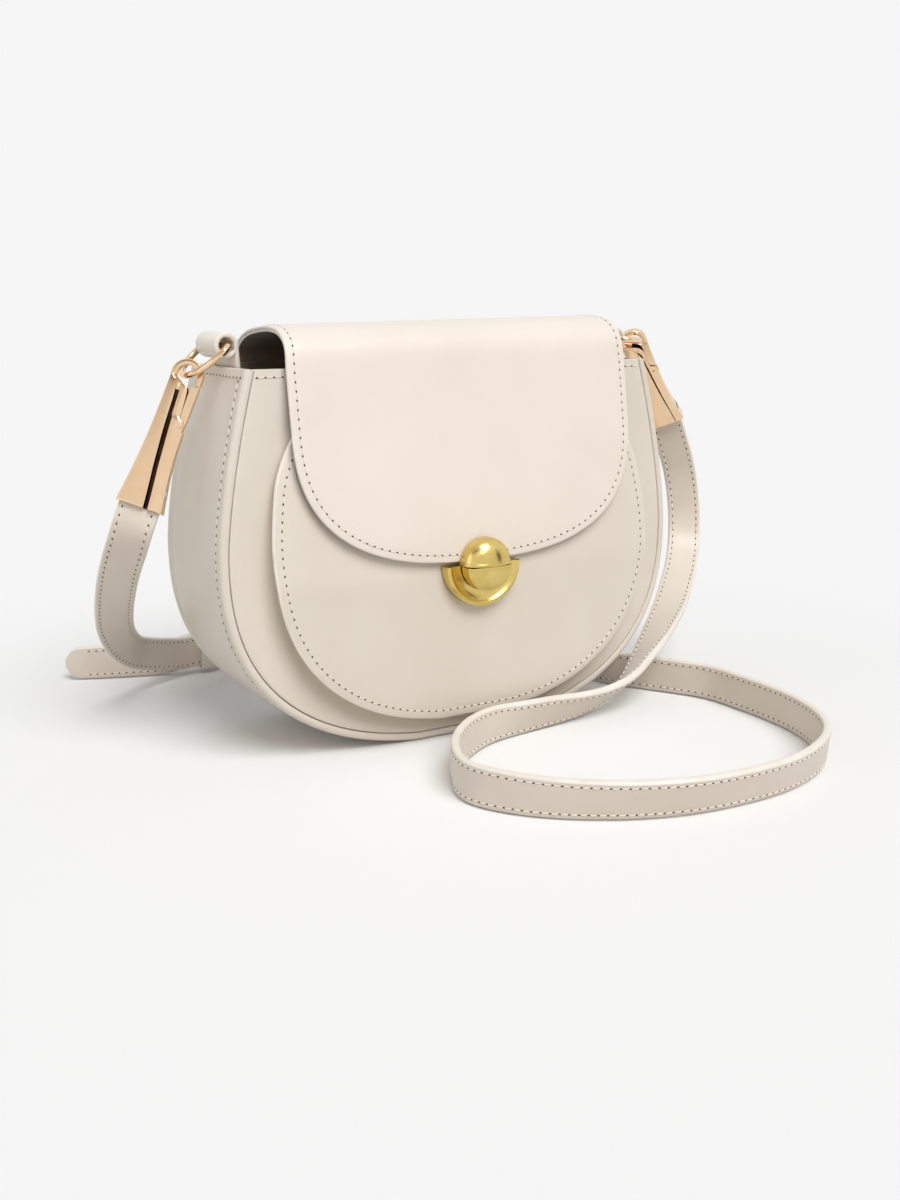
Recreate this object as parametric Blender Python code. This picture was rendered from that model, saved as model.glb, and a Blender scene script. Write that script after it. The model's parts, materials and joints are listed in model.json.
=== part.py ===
"""Crossbody saddle bag with a front flap, a press lock and an adjustable strap on two snap hooks.

Metres, +Z up. The bag stands on its flat base at z = 0, faces -Y, and is centred on x = 0.
"""
import math

import bmesh
import bpy
from mathutils import Matrix, Vector

# Bag body
PANEL_HALF_WIDTH = 0.100
PANEL_TOP_HALF_WIDTH = 0.087
BODY_TOP_Z = 0.150
WIDEST_Z = 0.080
PANEL_BOTTOM_Z = 0.0035
BASE_FLAT_HALF_WIDTH = 0.022
FRONT_BASE_Y = -0.0324
FRONT_TOP_Y = -0.0294
BACK_BASE_Y = 0.0310
BACK_TOP_Y = 0.0275
OUTLINE_FULLNESS = 2.45
SIDE_BOW_POWER = 1.5

# Leather, board and lining
LEATHER = 0.0016
BOARD = 0.0008
LINING = 0.0007
SEAT_GAP = 0.0003
LIP_ROUNDING_SHARES = ((0.52, 0.0), (0.85, 0.17), (1.0, 0.57))

# Front pocket
POCKET_HALF_WIDTH = 0.086
POCKET_TOP_HALF_WIDTH = 0.0785
POCKET_TOP_Z = 0.128
POCKET_WIDEST_Z = 0.084
POCKET_BOTTOM_Z = 0.011
POCKET_FULLNESS = 2.35
POCKET_FLAT_HALF_WIDTH = 0.016
POCKET_LEATHER = 0.0018
POCKET_LINING = 0.0005
POCKET_GUSSET_INSET = 0.004
POCKET_GUSSET_WALL = 0.0012
POCKET_GUSSET_TOP_Z = 0.112
POCKET_DEPTH = 0.0100
POCKET_MOUTH_DEPTH = 0.0026
POCKET_FULL_DEPTH_Z = 0.070

# Flap
FLAP_HALF_WIDTH = 0.0765
FLAP_BACK_HALF_WIDTH = 0.0720
FLAP_SIDE_END_Z = 0.128
FLAP_TIP_Z = 0.0745
FLAP_FULLNESS = 2.6
FLAP_LEATHER = 0.0014
FLAP_LINING = 0.0008
FLAP_LINING_INSET = 0.0008
FLAP_APEX_Y = -0.012
FLAP_APEX_RISE = 0.017
FLAP_BEND_OVERHANG = 0.0039
FLAP_STAND_OFF = 0.0012
HINGE_GAP = 0.0004
HINGE_STRIP_HEIGHT = 0.030
HINGE_STRIP_HALF_WIDTH = 0.0720

# Press lock
LOCK_SPLIT_Z = 0.0734
LOCK_PLATE_RADIUS = 0.0170
LOCK_PLATE_DEPTH = 0.0045
LOCK_SPLIT_GAP = 0.0002
BALL_RADIUS = 0.0100
BALL_RISE = 0.0077
DOME_RADIUS = 0.0106
DOME_RISE = 0.0087
LOCK_TRAVEL = 0.0016
HOUSING_HALF_WIDTH = 0.0060
HOUSING_HEIGHT = 0.0116
HOUSING_DEPTH = 0.0072
HOUSING_WALL = 0.0012
SHANK_HALF_WIDTH = 0.0042
BOSS_HEIGHT = 0.0029
TOOTH_HALF_WIDTH = 0.0019
TOOTH_HEIGHT = 0.0007
TOOTH_REACH = 0.0008
TONGUE_HALF_WIDTH = 0.0036
TONGUE_THICKNESS = 0.0009
TONGUE_DROP = 0.0024
TONGUE_SETBACK = 0.0007
BACK_PLATE_HALF_WIDTH = 0.0112
BACK_PLATE_HEIGHT = 0.0180
BACK_PLATE_THICKNESS = 0.0008
SCREW_RADIUS = 0.0008
SCREW_HEAD_RADIUS = 0.0018
SCREW_HALF_SPACING = 0.0090
SCREW_DROP = 0.0094
SPRING_RADIUS = 0.0012
SPRING_WIRE_RADIUS = 0.00022
SPRING_TURNS = 3

# D-rings and the leather tabs that carry them
TAB_OUTSET = 0.0030
TAB_RISE = 0.0080
TAB_OUTER_RADIUS = 0.0054
TAB_BORE_RADIUS = 0.0032
TAB_LENGTH = 0.0230
TAB_NECK_WALL = 0.0018
TAB_NECK_DEPTH = 0.0220
TAB_X = PANEL_TOP_HALF_WIDTH + TAB_OUTSET
TAB_Z = BODY_TOP_Z + TAB_RISE
RING_WIRE_RADIUS = 0.00125
RING_HALF_WIDTH = 0.0135
RING_CORNER_RADIUS = 0.0035
RING_REACH = 0.0170
LEFT_RING_DROOP = math.radians(40)
RIGHT_RING_DROOP = math.radians(5)

# Snap hooks
HOOK_EYE_RADIUS = 0.0038
HOOK_OUTER_RADIUS = 0.0060
HOOK_HALF_THICKNESS = 0.0013
HOOK_SLOT_HALF_WIDTH = 0.0026
HOOK_SHIFT = 0.0030
HOOK_NECK_OUTER = 0.0060
BELL_TOP_S = 0.0165
BELL_MOUTH_S = 0.0520
BELL_TOP_HALF_WIDTH = 0.0060
BELL_MOUTH_HALF_WIDTH = 0.0090
BELL_TOP_HALF_THICKNESS = 0.0029
BELL_MOUTH_HALF_THICKNESS = 0.0038
SOCKET_DEPTH = 0.0090
GATE_HALF_WIDTH = 0.0014
GATE_HALF_THICKNESS = 0.0012
GATE_X = 0.0040
GATE_PIVOT_S = 0.0195
GATE_TIP_S = 0.0034
GATE_PIN_RADIUS = 0.0007
RIVET_RADIUS = 0.0010
RIVET_S = 0.0475
LEFT_BELL_OUTSET = 0.0249
LEFT_BELL_FORWARD = 0.0040
LEFT_BELL_DROP = 0.0469

# Strap
STRAP_WIDTH = 0.0155
STRAP_THICKNESS = 0.0032
STRAP_STEP = 0.006
STRAP_TIP_LENGTH = 0.007
STRAP_TIP_HALF_WIDTH = 0.0020
FLOOR_RISE = 0.0004
BUCKLE_X = -0.026
BUCKLE_BEHIND = 0.077
BUCKLE_Y = BACK_BASE_Y + BUCKLE_BEHIND
BUCKLE_Z = 0.0112
BUCKLE_LENGTH = 0.022
BUCKLE_HALF_HEIGHT = 0.0097
BUCKLE_WIRE_RADIUS = 0.0013
STRAP_EYE_RADIUS = 0.0029
STRAP_EYE_BORE = 0.0016
PRONG_RADIUS = 0.0009
PRONG_EYE_RADIUS = 0.0024
PRONG_HALF_WIDTH = 0.0014
KEEPER_X = -0.060
KEEPER_LENGTH = 0.008
KEEPER_WALL = 0.0014

# The strap's centre line, each place in shares of PANEL_HALF_WIDTH, with the direction of its width
SHORT_HANGING_SHARES = (
    ((-1.286, -0.030, 0.870), (0.83, -0.50, -0.22)),
    ((-1.287, 0.090, 0.750), (0.86, -0.47, -0.12)),
    ((-1.266, 0.240, 0.630), (0.86, -0.46, 0.00)),
    ((-1.232, 0.400, 0.512), (0.85, -0.44, 0.12)),
    ((-1.176, 0.580, 0.385), (0.80, -0.38, 0.34)),
    ((-1.092, 0.740, 0.270), (0.62, -0.22, 0.68)),
    ((-0.980, 0.880, 0.190), (0.30, -0.02, 0.94)),
)
LONG_HANGING_SHARES = (
    ((1.465, 0.168, 1.070), (0.74, -0.60, 0.28)),
    ((1.527, 0.185, 0.945), (0.80, -0.59, 0.10)),
    ((1.558, 0.188, 0.825), (0.82, -0.57, 0.00)),
    ((1.568, 0.180, 0.700), (0.82, -0.57, -0.06)),
    ((1.545, 0.150, 0.580), (0.82, -0.57, -0.12)),
    ((1.460, 0.066, 0.475), (0.78, -0.60, -0.15)),
    ((1.300, -0.067, 0.365), (0.66, -0.74, -0.10)),
    ((1.167, -0.165, 0.295), (0.52, -0.84, 0.10)),
    ((1.029, -0.264, 0.240), (0.32, -0.90, 0.26)),
    ((0.895, -0.347, 0.185), (0.14, -0.88, 0.44)),
    ((0.752, -0.424, 0.128), (0.00, -0.82, 0.57)),
    ((0.602, -0.453, 0.090), (0.00, -0.70, 0.71)),
    ((0.462, -0.471, 0.080), (0.00, -0.58, 0.81)),
    ((0.318, -0.475, 0.079), (0.00, -0.42, 0.91)),
    ((0.160, -0.486, 0.079), (0.00, -0.30, 0.95)),
)

# The loop on the floor: x and y in the same shares, then how far the strap leans towards -Y
LOOP_SHARES = (
    (0.002, -0.508, 0.10), (-0.150, -0.590, 0.0), (-0.290, -0.725, 0.0), (-0.380, -0.885, 0.0),
    (-0.402, -1.008, 0.05), (-0.353, -1.127, 0.12), (-0.265, -1.244, 0.22), (-0.149, -1.346, 0.30),
    (0.013, -1.442, 0.34), (0.220, -1.511, 0.36), (0.480, -1.532, 0.36), (0.705, -1.502, 0.30),
    (0.911, -1.412, 0.18), (1.059, -1.271, 0.06), (1.151, -1.062, 0.0), (1.181, -0.860, 0.0),
    (1.182, -0.676, 0.0), (1.166, -0.489, 0.0), (1.082, -0.328, 0.0), (1.006, -0.207, 0.0),
    (0.940, -0.091, 0.0), (0.880, 0.080, 0.0), (0.840, 0.320, 0.0), (0.740, 0.600, 0.0),
    (0.520, 0.850, 0.0), (0.280, 0.990, 0.0),
)
TAIL_SHARES = ((-0.780, 1.130), (-0.900, 1.160), (-1.060, 1.215), (-1.225, 1.280))

BORE_CLEARANCE = 0.0003
CUT_OVERRUN = 0.002

CREAM = (0.80, 0.75, 0.67)
LINING_BROWN = (0.035, 0.024, 0.018)
BOARD_GREY = (0.32, 0.30, 0.28)
ROSE_GOLD = (0.86, 0.66, 0.48)
LOCK_GOLD = (0.80, 0.62, 0.24)
STEEL = (0.60, 0.60, 0.60)

LEFT = -1
RIGHT = 1


def clear_scene():
    """Take every object out of the scene."""
    for found in list(bpy.data.objects):
        bpy.data.objects.remove(found, do_unlink=True)


def make_material(name, colour, roughness, metallic=0.0):
    """Return a new Principled material."""
    made = bpy.data.materials.new(name)
    made.use_nodes = True
    shader = made.node_tree.nodes["Principled BSDF"]
    shader.inputs["Base Color"].default_value = (*colour, 1.0)
    shader.inputs["Roughness"].default_value = roughness
    shader.inputs["Metallic"].default_value = metallic
    made.diffuse_color = (*colour, 1.0)
    return made


def leather(name):
    """Cream coated leather."""
    return make_material(name + "_leather", CREAM, 0.42)


def lining(name):
    """Dark textile lining."""
    return make_material(name + "_textile", LINING_BROWN, 0.9)


def board(name):
    """Fibre board inside the walls."""
    return make_material(name + "_board", BOARD_GREY, 0.9)


def hardware(name, colour=ROSE_GOLD):
    """Plated metal."""
    return make_material(name + "_metal", colour, 0.2, 1.0)


def finish(name, shape, material, origin=(0.0, 0.0, 0.0), smooth=True):
    """Make the object from a bmesh, with its origin where a joint needs it."""
    bmesh.ops.remove_doubles(shape, verts=shape.verts, dist=0.000001)
    bmesh.ops.recalc_face_normals(shape, faces=shape.faces)
    bmesh.ops.translate(shape, verts=shape.verts, vec=-Vector(origin))
    mesh = bpy.data.meshes.new(name)
    shape.to_mesh(mesh)
    shape.free()
    if smooth:
        mesh.shade_smooth()
        mesh.set_sharp_from_angle(angle=math.radians(32))
    made = bpy.data.objects.new(name, mesh)
    made.location = origin
    made.data.materials.append(material)
    bpy.context.scene.collection.objects.link(made)
    return made


def apply_boolean(target, tool, operation):
    """Cut, join or keep the tool's shape in the target, then remove the tool."""
    modifier = target.modifiers.new("shape", "BOOLEAN")
    modifier.operation = operation
    modifier.solver = "EXACT"
    modifier.object = tool
    tool.hide_render = True
    tool.display_type = "WIRE"
    bpy.context.view_layer.update()
    evaluated = target.evaluated_get(bpy.context.evaluated_depsgraph_get())
    result = bpy.data.meshes.new_from_object(evaluated)
    target.modifiers.clear()
    target.data = result
    bpy.data.objects.remove(tool, do_unlink=True)
    return target


def cut(target, tool):
    """Take the tool's shape out of the target."""
    return apply_boolean(target, tool, "DIFFERENCE")


def join(target, tool):
    """Fuse the tool's shape to the target."""
    return apply_boolean(target, tool, "UNION")


def box_shape(low, high):
    """A bmesh box between two corners."""
    shape = bmesh.new()
    size = Vector(high) - Vector(low)
    centre = (Vector(high) + Vector(low)) / 2
    matrix = Matrix.Translation(centre) @ Matrix.Diagonal((*size, 1.0))
    bmesh.ops.create_cube(shape, size=1.0, matrix=matrix)
    return shape


def rod_shape(start, end, radius, sides=16):
    """A bmesh cylinder between two points."""
    shape = bmesh.new()
    line = Vector(end) - Vector(start)
    turn = line.to_track_quat("Z", "Y").to_matrix().to_4x4()
    matrix = Matrix.Translation((Vector(start) + Vector(end)) / 2) @ turn
    bmesh.ops.create_cone(
        shape, cap_ends=True, segments=sides, radius1=radius, radius2=radius, depth=line.length, matrix=matrix
    )
    return shape


def tool(shape, name="tool"):
    """An object that is only used to cut or to join."""
    return finish(name, shape, make_material(name, BOARD_GREY, 0.9), smooth=False)


def prism_shape(points, thickness_low, thickness_high):
    """A bmesh prism over (x, z) points, between two values of y."""
    shape = bmesh.new()
    front = [shape.verts.new((x, thickness_low, z)) for x, z in points]
    back = [shape.verts.new((x, thickness_high, z)) for x, z in points]
    shape.faces.new(front)
    shape.faces.new(list(reversed(back)))
    count = len(points)
    for i in range(count):
        j = (i + 1) % count
        shape.faces.new((front[i], back[i], back[j], front[j]))
    return shape


def loft_shape(sections, closed=False):
    """Join equal closed sections one after the other, capped at both ends unless closed."""
    shape = bmesh.new()
    rings = [[shape.verts.new(point) for point in section] for section in sections]
    count = len(rings[0])
    spans = len(rings) if closed else len(rings) - 1
    for k in range(spans):
        here = rings[k]
        there = rings[(k + 1) % len(rings)]
        for i in range(count):
            j = (i + 1) % count
            shape.faces.new((here[i], here[j], there[j], there[i]))
    if not closed:
        shape.faces.new(list(reversed(rings[0])))
        shape.faces.new(rings[-1])
    return shape


def tube_sections(points, radius, sides, up, closed=False):
    """Round sections along a path; up is a direction that the path never takes."""
    sections = []
    count = len(points)
    for i, point in enumerate(points):
        after = points[(i + 1) % count] if closed or i < count - 1 else points[i]
        before = points[i - 1] if closed or i > 0 else points[i]
        along = (Vector(after) - Vector(before)).normalized()
        across = along.cross(Vector(up)).normalized()
        over = across.cross(along)
        ring = []
        for k in range(sides):
            angle = 2 * math.pi * k / sides
            ring.append(Vector(point) + radius * (math.cos(angle) * across + math.sin(angle) * over))
        sections.append(ring)
    return sections


def front_y(z):
    """Outer face of the front panel."""
    return FRONT_BASE_Y + (FRONT_TOP_Y - FRONT_BASE_Y) * z / BODY_TOP_Z


def back_y(z):
    """Outer face of the back panel."""
    return BACK_BASE_Y + (BACK_TOP_Y - BACK_BASE_Y) * z / BODY_TOP_Z


def half_outline(half_width, top_half_width, top_z, widest_z, bottom_z, fullness, flat, side_steps, low_steps):
    """Right half of a U outline as (x, z), from its top corner down to the end of its flat bottom."""
    points = []
    for i in range(side_steps):
        share = 1 - i / side_steps
        x = half_width - (half_width - top_half_width) * share**SIDE_BOW_POWER
        points.append((x, widest_z + (top_z - widest_z) * share))
    last = math.acos((flat / half_width) ** (fullness / 2))
    lowest = math.sin(last) ** (2 / fullness)
    for i in range(low_steps + 1):
        angle = last * i / low_steps
        x = half_width * math.cos(angle) ** (2 / fullness)
        drop = math.sin(angle) ** (2 / fullness) / lowest
        points.append((x, widest_z - (widest_z - bottom_z) * drop))
    return points


def whole_outline(half):
    """Both halves, from the top left corner round the bottom to the top right corner."""
    left = [(-x, z) for x, z in half]
    return left + list(reversed(half))


def offset_half(half, distance):
    """The half outline moved outwards by a distance, its top left at the same height."""
    moved = []
    last = len(half) - 1
    for i, (x, z) in enumerate(half):
        if i == 0:
            moved.append((x + distance, z))
            continue
        if i == last:
            moved.append((x, z - distance))
            continue
        run = half[i + 1][0] - half[i - 1][0]
        rise = half[i + 1][1] - half[i - 1][1]
        length = math.hypot(run, rise)
        moved.append((x - distance * rise / length, z + distance * run / length))
    return moved


def body_half():
    """Half outline of the seam between panel and gusset."""
    return half_outline(
        PANEL_HALF_WIDTH, PANEL_TOP_HALF_WIDTH, BODY_TOP_Z, WIDEST_Z, PANEL_BOTTOM_Z,
        OUTLINE_FULLNESS, BASE_FLAT_HALF_WIDTH, 5, 16,
    )


def pocket_half():
    """Half outline of the front pocket."""
    return half_outline(
        POCKET_HALF_WIDTH, POCKET_TOP_HALF_WIDTH, POCKET_TOP_Z, POCKET_WIDEST_Z, POCKET_BOTTOM_Z,
        POCKET_FULLNESS, POCKET_FLAT_HALF_WIDTH, 4, 12,
    )


def leaning_sheet(half, near, far):
    """A sheet over a U outline, between two faces given as functions of z."""
    sections = []
    for x, z in half:
        sections.append([(-x, near(z), z), (x, near(z), z), (x, far(z), z), (-x, far(z), z)])
    return loft_shape(sections)


def make_panel(name, face, inwards, depth, thickness, inset, material):
    """A flat wall of the bag; depth is how far it lies behind the outer face."""
    half = offset_half(body_half(), -inset)

    def near(z):
        return face(z) + inwards * depth

    def far(z):
        return face(z) + inwards * (depth + thickness)

    return finish(name, leaning_sheet(half, near, far), material, smooth=False)


def wall_strip(name, low_offset, high_offset, end_gap, material):
    """A strip bent round the U, between the two panels."""
    inner = whole_outline(offset_half(body_half(), low_offset))
    outer = whole_outline(offset_half(body_half(), high_offset))
    sections = []
    for (xi, zi), (xo, zo) in zip(inner, outer):
        sections.append([
            (xi, front_y(zi) + end_gap, zi),
            (xo, front_y(zo) + end_gap, zo),
            (xo, back_y(zo) - end_gap, zo),
            (xi, back_y(zi) - end_gap, zi),
        ])
    return finish(name, loft_shape(sections), material)


def make_gusset():
    """The U-shaped wall with a rolled lip round each panel; its lowest facet is the base."""
    base = body_half()
    lip = PANEL_BOTTOM_Z
    profile = []
    for out_share, back_share in LIP_ROUNDING_SHARES:
        profile.append((lip * out_share, lip * back_share))
    wall = lip - LEATHER
    rings = {}
    for out in sorted({0.0, wall} | {out for out, _ in profile}):
        rings[out] = whole_outline(offset_half(base, out))
    sections = []
    for i in range(len(rings[0.0])):
        section = [(0.0, 0.0), *profile]
        front = [(rings[out][i], front_y(rings[out][i][1]) + deep) for out, deep in section]
        back = [(rings[out][i], back_y(rings[out][i][1]) - deep) for out, deep in reversed(section)]
        inner = [(0.0, "back"), (wall, "back"), (wall, "front"), (0.0, "front")]
        path = front + back
        for out, side in inner:
            z = rings[out][i][1]
            y = back_y(z) - LEATHER if side == "back" else front_y(z) + LEATHER
            path.append((rings[out][i], y))
        sections.append([(x, y, z) for (x, z), y in path])
    return finish("gusset", loft_shape(sections), leather("gusset"))


def make_body():
    """Panels, gusset, boards and linings."""
    deep = LEATHER + SEAT_GAP
    make_panel("front_panel", front_y, 1, 0.0, LEATHER, SEAT_GAP, leather("front_panel"))
    make_panel("back_panel", back_y, -1, 0.0, LEATHER, SEAT_GAP, leather("back_panel"))
    make_gusset()
    strip_out = PANEL_BOTTOM_Z - LEATHER - SEAT_GAP
    wall_strip("gusset_board", strip_out - BOARD, strip_out, deep, board("gusset_board"))
    lining_out = strip_out - BOARD - SEAT_GAP
    wall_strip("gusset_lining", lining_out - LINING, lining_out, deep, lining("gusset_lining"))
    inset = LINING + SEAT_GAP - lining_out
    make_panel("front_board", front_y, 1, deep, BOARD, inset, board("front_board"))
    make_panel("back_board", back_y, -1, deep, BOARD, inset, board("back_board"))
    deeper = deep + BOARD + SEAT_GAP
    make_panel("front_lining", front_y, 1, deeper, LINING, inset, lining("front_lining"))
    make_panel("back_lining", back_y, -1, deeper, LINING, inset, lining("back_lining"))


def pocket_y(z):
    """Outer face of the pocket, full below and drawn in to its mouth at the top."""
    full = front_y(z) - POCKET_DEPTH
    if z <= POCKET_FULL_DEPTH_Z:
        return full
    share = (z - POCKET_FULL_DEPTH_Z) / (POCKET_TOP_Z - POCKET_FULL_DEPTH_Z)
    return full + (POCKET_DEPTH - POCKET_MOUTH_DEPTH) * share


def make_pocket():
    """The raised front pocket with its lining and the narrow gusset behind its edge."""
    half = pocket_half()

    def inner(z):
        return pocket_y(z) + POCKET_LEATHER

    front = finish("pocket_front", leaning_sheet(half, pocket_y, inner), leather("pocket_front"))

    def lining_near(z):
        return inner(z) + SEAT_GAP

    def lining_far(z):
        return inner(z) + SEAT_GAP + POCKET_LINING

    in_half = offset_half(half, -(POCKET_GUSSET_INSET + POCKET_GUSSET_WALL + SEAT_GAP))
    short_half = [(x, z) for x, z in in_half if z < POCKET_GUSSET_TOP_Z]
    backing = finish("pocket_lining", leaning_sheet(short_half, lining_near, lining_far), lining("pocket_lining"))
    outer_half = [(x, z) for x, z in offset_half(half, -POCKET_GUSSET_INSET) if z < POCKET_GUSSET_TOP_Z]
    inner_half = offset_half(outer_half, -POCKET_GUSSET_WALL)
    sections = []
    for (xo, zo), (xi, zi) in zip(whole_outline(outer_half), whole_outline(inner_half)):
        sections.append([
            (xo, inner(zo) + SEAT_GAP, zo),
            (xi, inner(zi) + SEAT_GAP, zi),
            (xi, front_y(zi) - SEAT_GAP, zi),
            (xo, front_y(zo) - SEAT_GAP, zo),
        ])
    finish("pocket_gusset", loft_shape(sections), leather("pocket_gusset"))
    return front, backing


def hinge_y():
    """Outer face of the strip that the flap bends on."""
    return back_y(BODY_TOP_Z) + SEAT_GAP + LEATHER


def smooth_curve(points, steps):
    """Points on a smooth curve through the given points, with equal steps in each stretch."""
    count = len(points)
    curve = []
    for i in range(count - 1):
        before = Vector(points[max(i - 1, 0)])
        start = Vector(points[i])
        end = Vector(points[i + 1])
        after = Vector(points[min(i + 2, count - 1)])
        for k in range(steps):
            t = k / steps
            curve.append(0.5 * (
                2 * start + (end - before) * t + (2 * before - 5 * start + 4 * end - after) * t * t
                + (3 * start - before - 3 * end + after) * t**3
            ))
    curve.append(Vector(points[-1]))
    return curve


def flap_profile():
    """(y, z) of the flap's outer face, from the hinge over the arch to the front bend, and the slope below."""
    start_z = BODY_TOP_Z + HINGE_GAP
    apex_z = BODY_TOP_Z + FLAP_APEX_RISE
    bend_y = front_y(BODY_TOP_Z) - FLAP_BEND_OVERHANG
    back_run = hinge_y() - FLAP_APEX_Y
    front_run = FLAP_APEX_Y - bend_y
    rise = apex_z - start_z
    back_shares = ((0.0, 0.0), (0.02, 0.22), (0.09, 0.48), (0.25, 0.72), (0.47, 0.88), (0.71, 0.96))
    front_shares = ((0.0, 1.0), (0.48, 0.93), (0.79, 0.72), (0.94, 0.42), (1.0, 0.0))
    arch = [(hinge_y() - back_run * run, start_z + rise * up) for run, up in back_shares]
    arch += [(FLAP_APEX_Y - front_run * run, start_z + rise * up) for run, up in front_shares]
    return [(p.x, p.y) for p in smooth_curve([(y, z, 0.0) for y, z in arch], 2)]


def flap_slope_y(z):
    """Outer face of the flap below its front bend, steeper beside the lock."""
    top_y = flap_profile()[-1][0]
    tip_y = pocket_y(LOCK_SPLIT_Z) - (FLAP_LEATHER + SEAT_GAP + FLAP_LINING + FLAP_STAND_OFF)
    knee_share = 0.87
    knee_reach_share = 0.93
    share = (BODY_TOP_Z + HINGE_GAP - z) / (BODY_TOP_Z + HINGE_GAP - FLAP_TIP_Z)
    if share < knee_share:
        return top_y + (tip_y - top_y) * share * knee_reach_share / knee_share
    below = (share - knee_share) / (1 - knee_share)
    return top_y + (tip_y - top_y) * (knee_reach_share + (1 - knee_reach_share) * below)


def flap_layer(name, depth, thickness, inset, material):
    """One layer of the flap: a curved sheet whose lower edge is a wide round tip."""
    corner_steps = 9
    columns = []
    for i in range(corner_steps + 1):
        angle = math.pi / 2 * i / corner_steps
        x = FLAP_HALF_WIDTH * math.sin(angle) ** (2 / FLAP_FULLNESS)
        drop = math.cos(angle) ** (2 / FLAP_FULLNESS)
        columns.append((x, FLAP_SIDE_END_Z - (FLAP_SIDE_END_Z - FLAP_TIP_Z) * drop))
    columns = [(-x, z) for x, z in reversed(columns[1:])] + columns
    arch = flap_profile()
    low_steps = 8
    outer = []
    for x, end_z in columns:
        line = []
        width_share = (FLAP_HALF_WIDTH - inset) / FLAP_HALF_WIDTH
        for k, (y, z) in enumerate(arch):
            spread = FLAP_BACK_HALF_WIDTH + (FLAP_HALF_WIDTH - FLAP_BACK_HALF_WIDTH) * k / (len(arch) - 1)
            line.append(Vector((x * width_share * spread / FLAP_HALF_WIDTH, y, z)))
        for k in range(1, low_steps + 1):
            z = arch[-1][1] + (end_z + inset - arch[-1][1]) * k / low_steps
            line.append(Vector((x * width_share, flap_slope_y(z), z)))
        outer.append(line)
    shape = bmesh.new()
    faces = {}
    for side, reach in (("near", depth), ("far", depth + thickness)):
        grid = []
        for line in outer:
            row = []
            for k, point in enumerate(line):
                before = line[max(k - 1, 0)]
                after = line[min(k + 1, len(line) - 1)]
                along = after - before
                inward = Vector((0.0, -along.z, along.y)).normalized()
                if k == 0:
                    inward = Vector((0.0, -1.0, 0.0))
                row.append(shape.verts.new(point + inward * reach))
            grid.append(row)
        faces[side] = grid
    near, far = faces["near"], faces["far"]
    wide, tall = len(near), len(near[0])
    for i in range(wide - 1):
        for k in range(tall - 1):
            shape.faces.new((near[i][k], near[i + 1][k], near[i + 1][k + 1], near[i][k + 1]))
            shape.faces.new((far[i][k], far[i][k + 1], far[i + 1][k + 1], far[i + 1][k]))
    for i in range(wide - 1):
        shape.faces.new((near[i][0], far[i][0], far[i + 1][0], near[i + 1][0]))
        shape.faces.new((near[i][-1], near[i + 1][-1], far[i + 1][-1], far[i][-1]))
    for k in range(tall - 1):
        shape.faces.new((near[0][k], near[0][k + 1], far[0][k + 1], far[0][k]))
        shape.faces.new((near[-1][k], far[-1][k], far[-1][k + 1], near[-1][k + 1]))
    return finish(name, shape, material, origin=hinge_point())


def hinge_point():
    """A point on the flap's hinge line, in the fold of the leather."""
    return Vector((0.0, hinge_y(), BODY_TOP_Z + HINGE_GAP / 4))


def make_flap():
    """The flap's two layers and the strip sewn to the back panel that it bends on."""
    low_z = BODY_TOP_Z - HINGE_STRIP_HEIGHT
    sections = []
    for z in (BODY_TOP_Z, low_z):
        near = back_y(z) + SEAT_GAP
        far = near + LEATHER
        half = HINGE_STRIP_HALF_WIDTH
        sections.append([(-half, near, z), (half, near, z), (half, far, z), (-half, far, z)])
    finish("flap_hinge_strip", loft_shape(sections), leather("flap_hinge_strip"), smooth=False)
    outer = flap_layer("flap_outer", 0.0, FLAP_LEATHER, 0.0, leather("flap_outer"))
    inner = flap_layer(
        "flap_lining", FLAP_LEATHER + SEAT_GAP, FLAP_LINING, FLAP_LINING_INSET, lining("flap_lining")
    )
    return outer, inner


def half_turned(profile, centre_z, upper, sides=14):
    """Half of a turned shape about a line along Y; profile is (radius, y) from the rim to the axis."""
    shape = bmesh.new()
    rows = []
    for k in range(sides + 1):
        angle = math.pi * k / sides
        if not upper:
            angle = -angle
        rows.append([
            shape.verts.new((radius * math.cos(angle), y, centre_z + radius * math.sin(angle)))
            for radius, y in profile
        ])
    for k in range(sides):
        for i in range(len(profile) - 1):
            shape.faces.new((rows[k][i], rows[k][i + 1], rows[k + 1][i + 1], rows[k + 1][i]))
    bmesh.ops.remove_doubles(shape, verts=shape.verts, dist=0.000001)
    bmesh.ops.holes_fill(shape, edges=shape.edges, sides=0)
    return shape


def domed_profile(radius, base_y, rise):
    """A low dome: a short straight rim, then a round cap down to the axis, closed at its base."""
    rim_share = 0.22
    steps = 5
    points = [(0.0, base_y), (radius, base_y)]
    for k in range(steps + 1):
        angle = math.pi / 2 * k / steps
        depth = rise * (rim_share + (1 - rim_share) * math.sin(angle))
        points.append((radius * math.cos(angle), base_y - depth))
    return points


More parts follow.
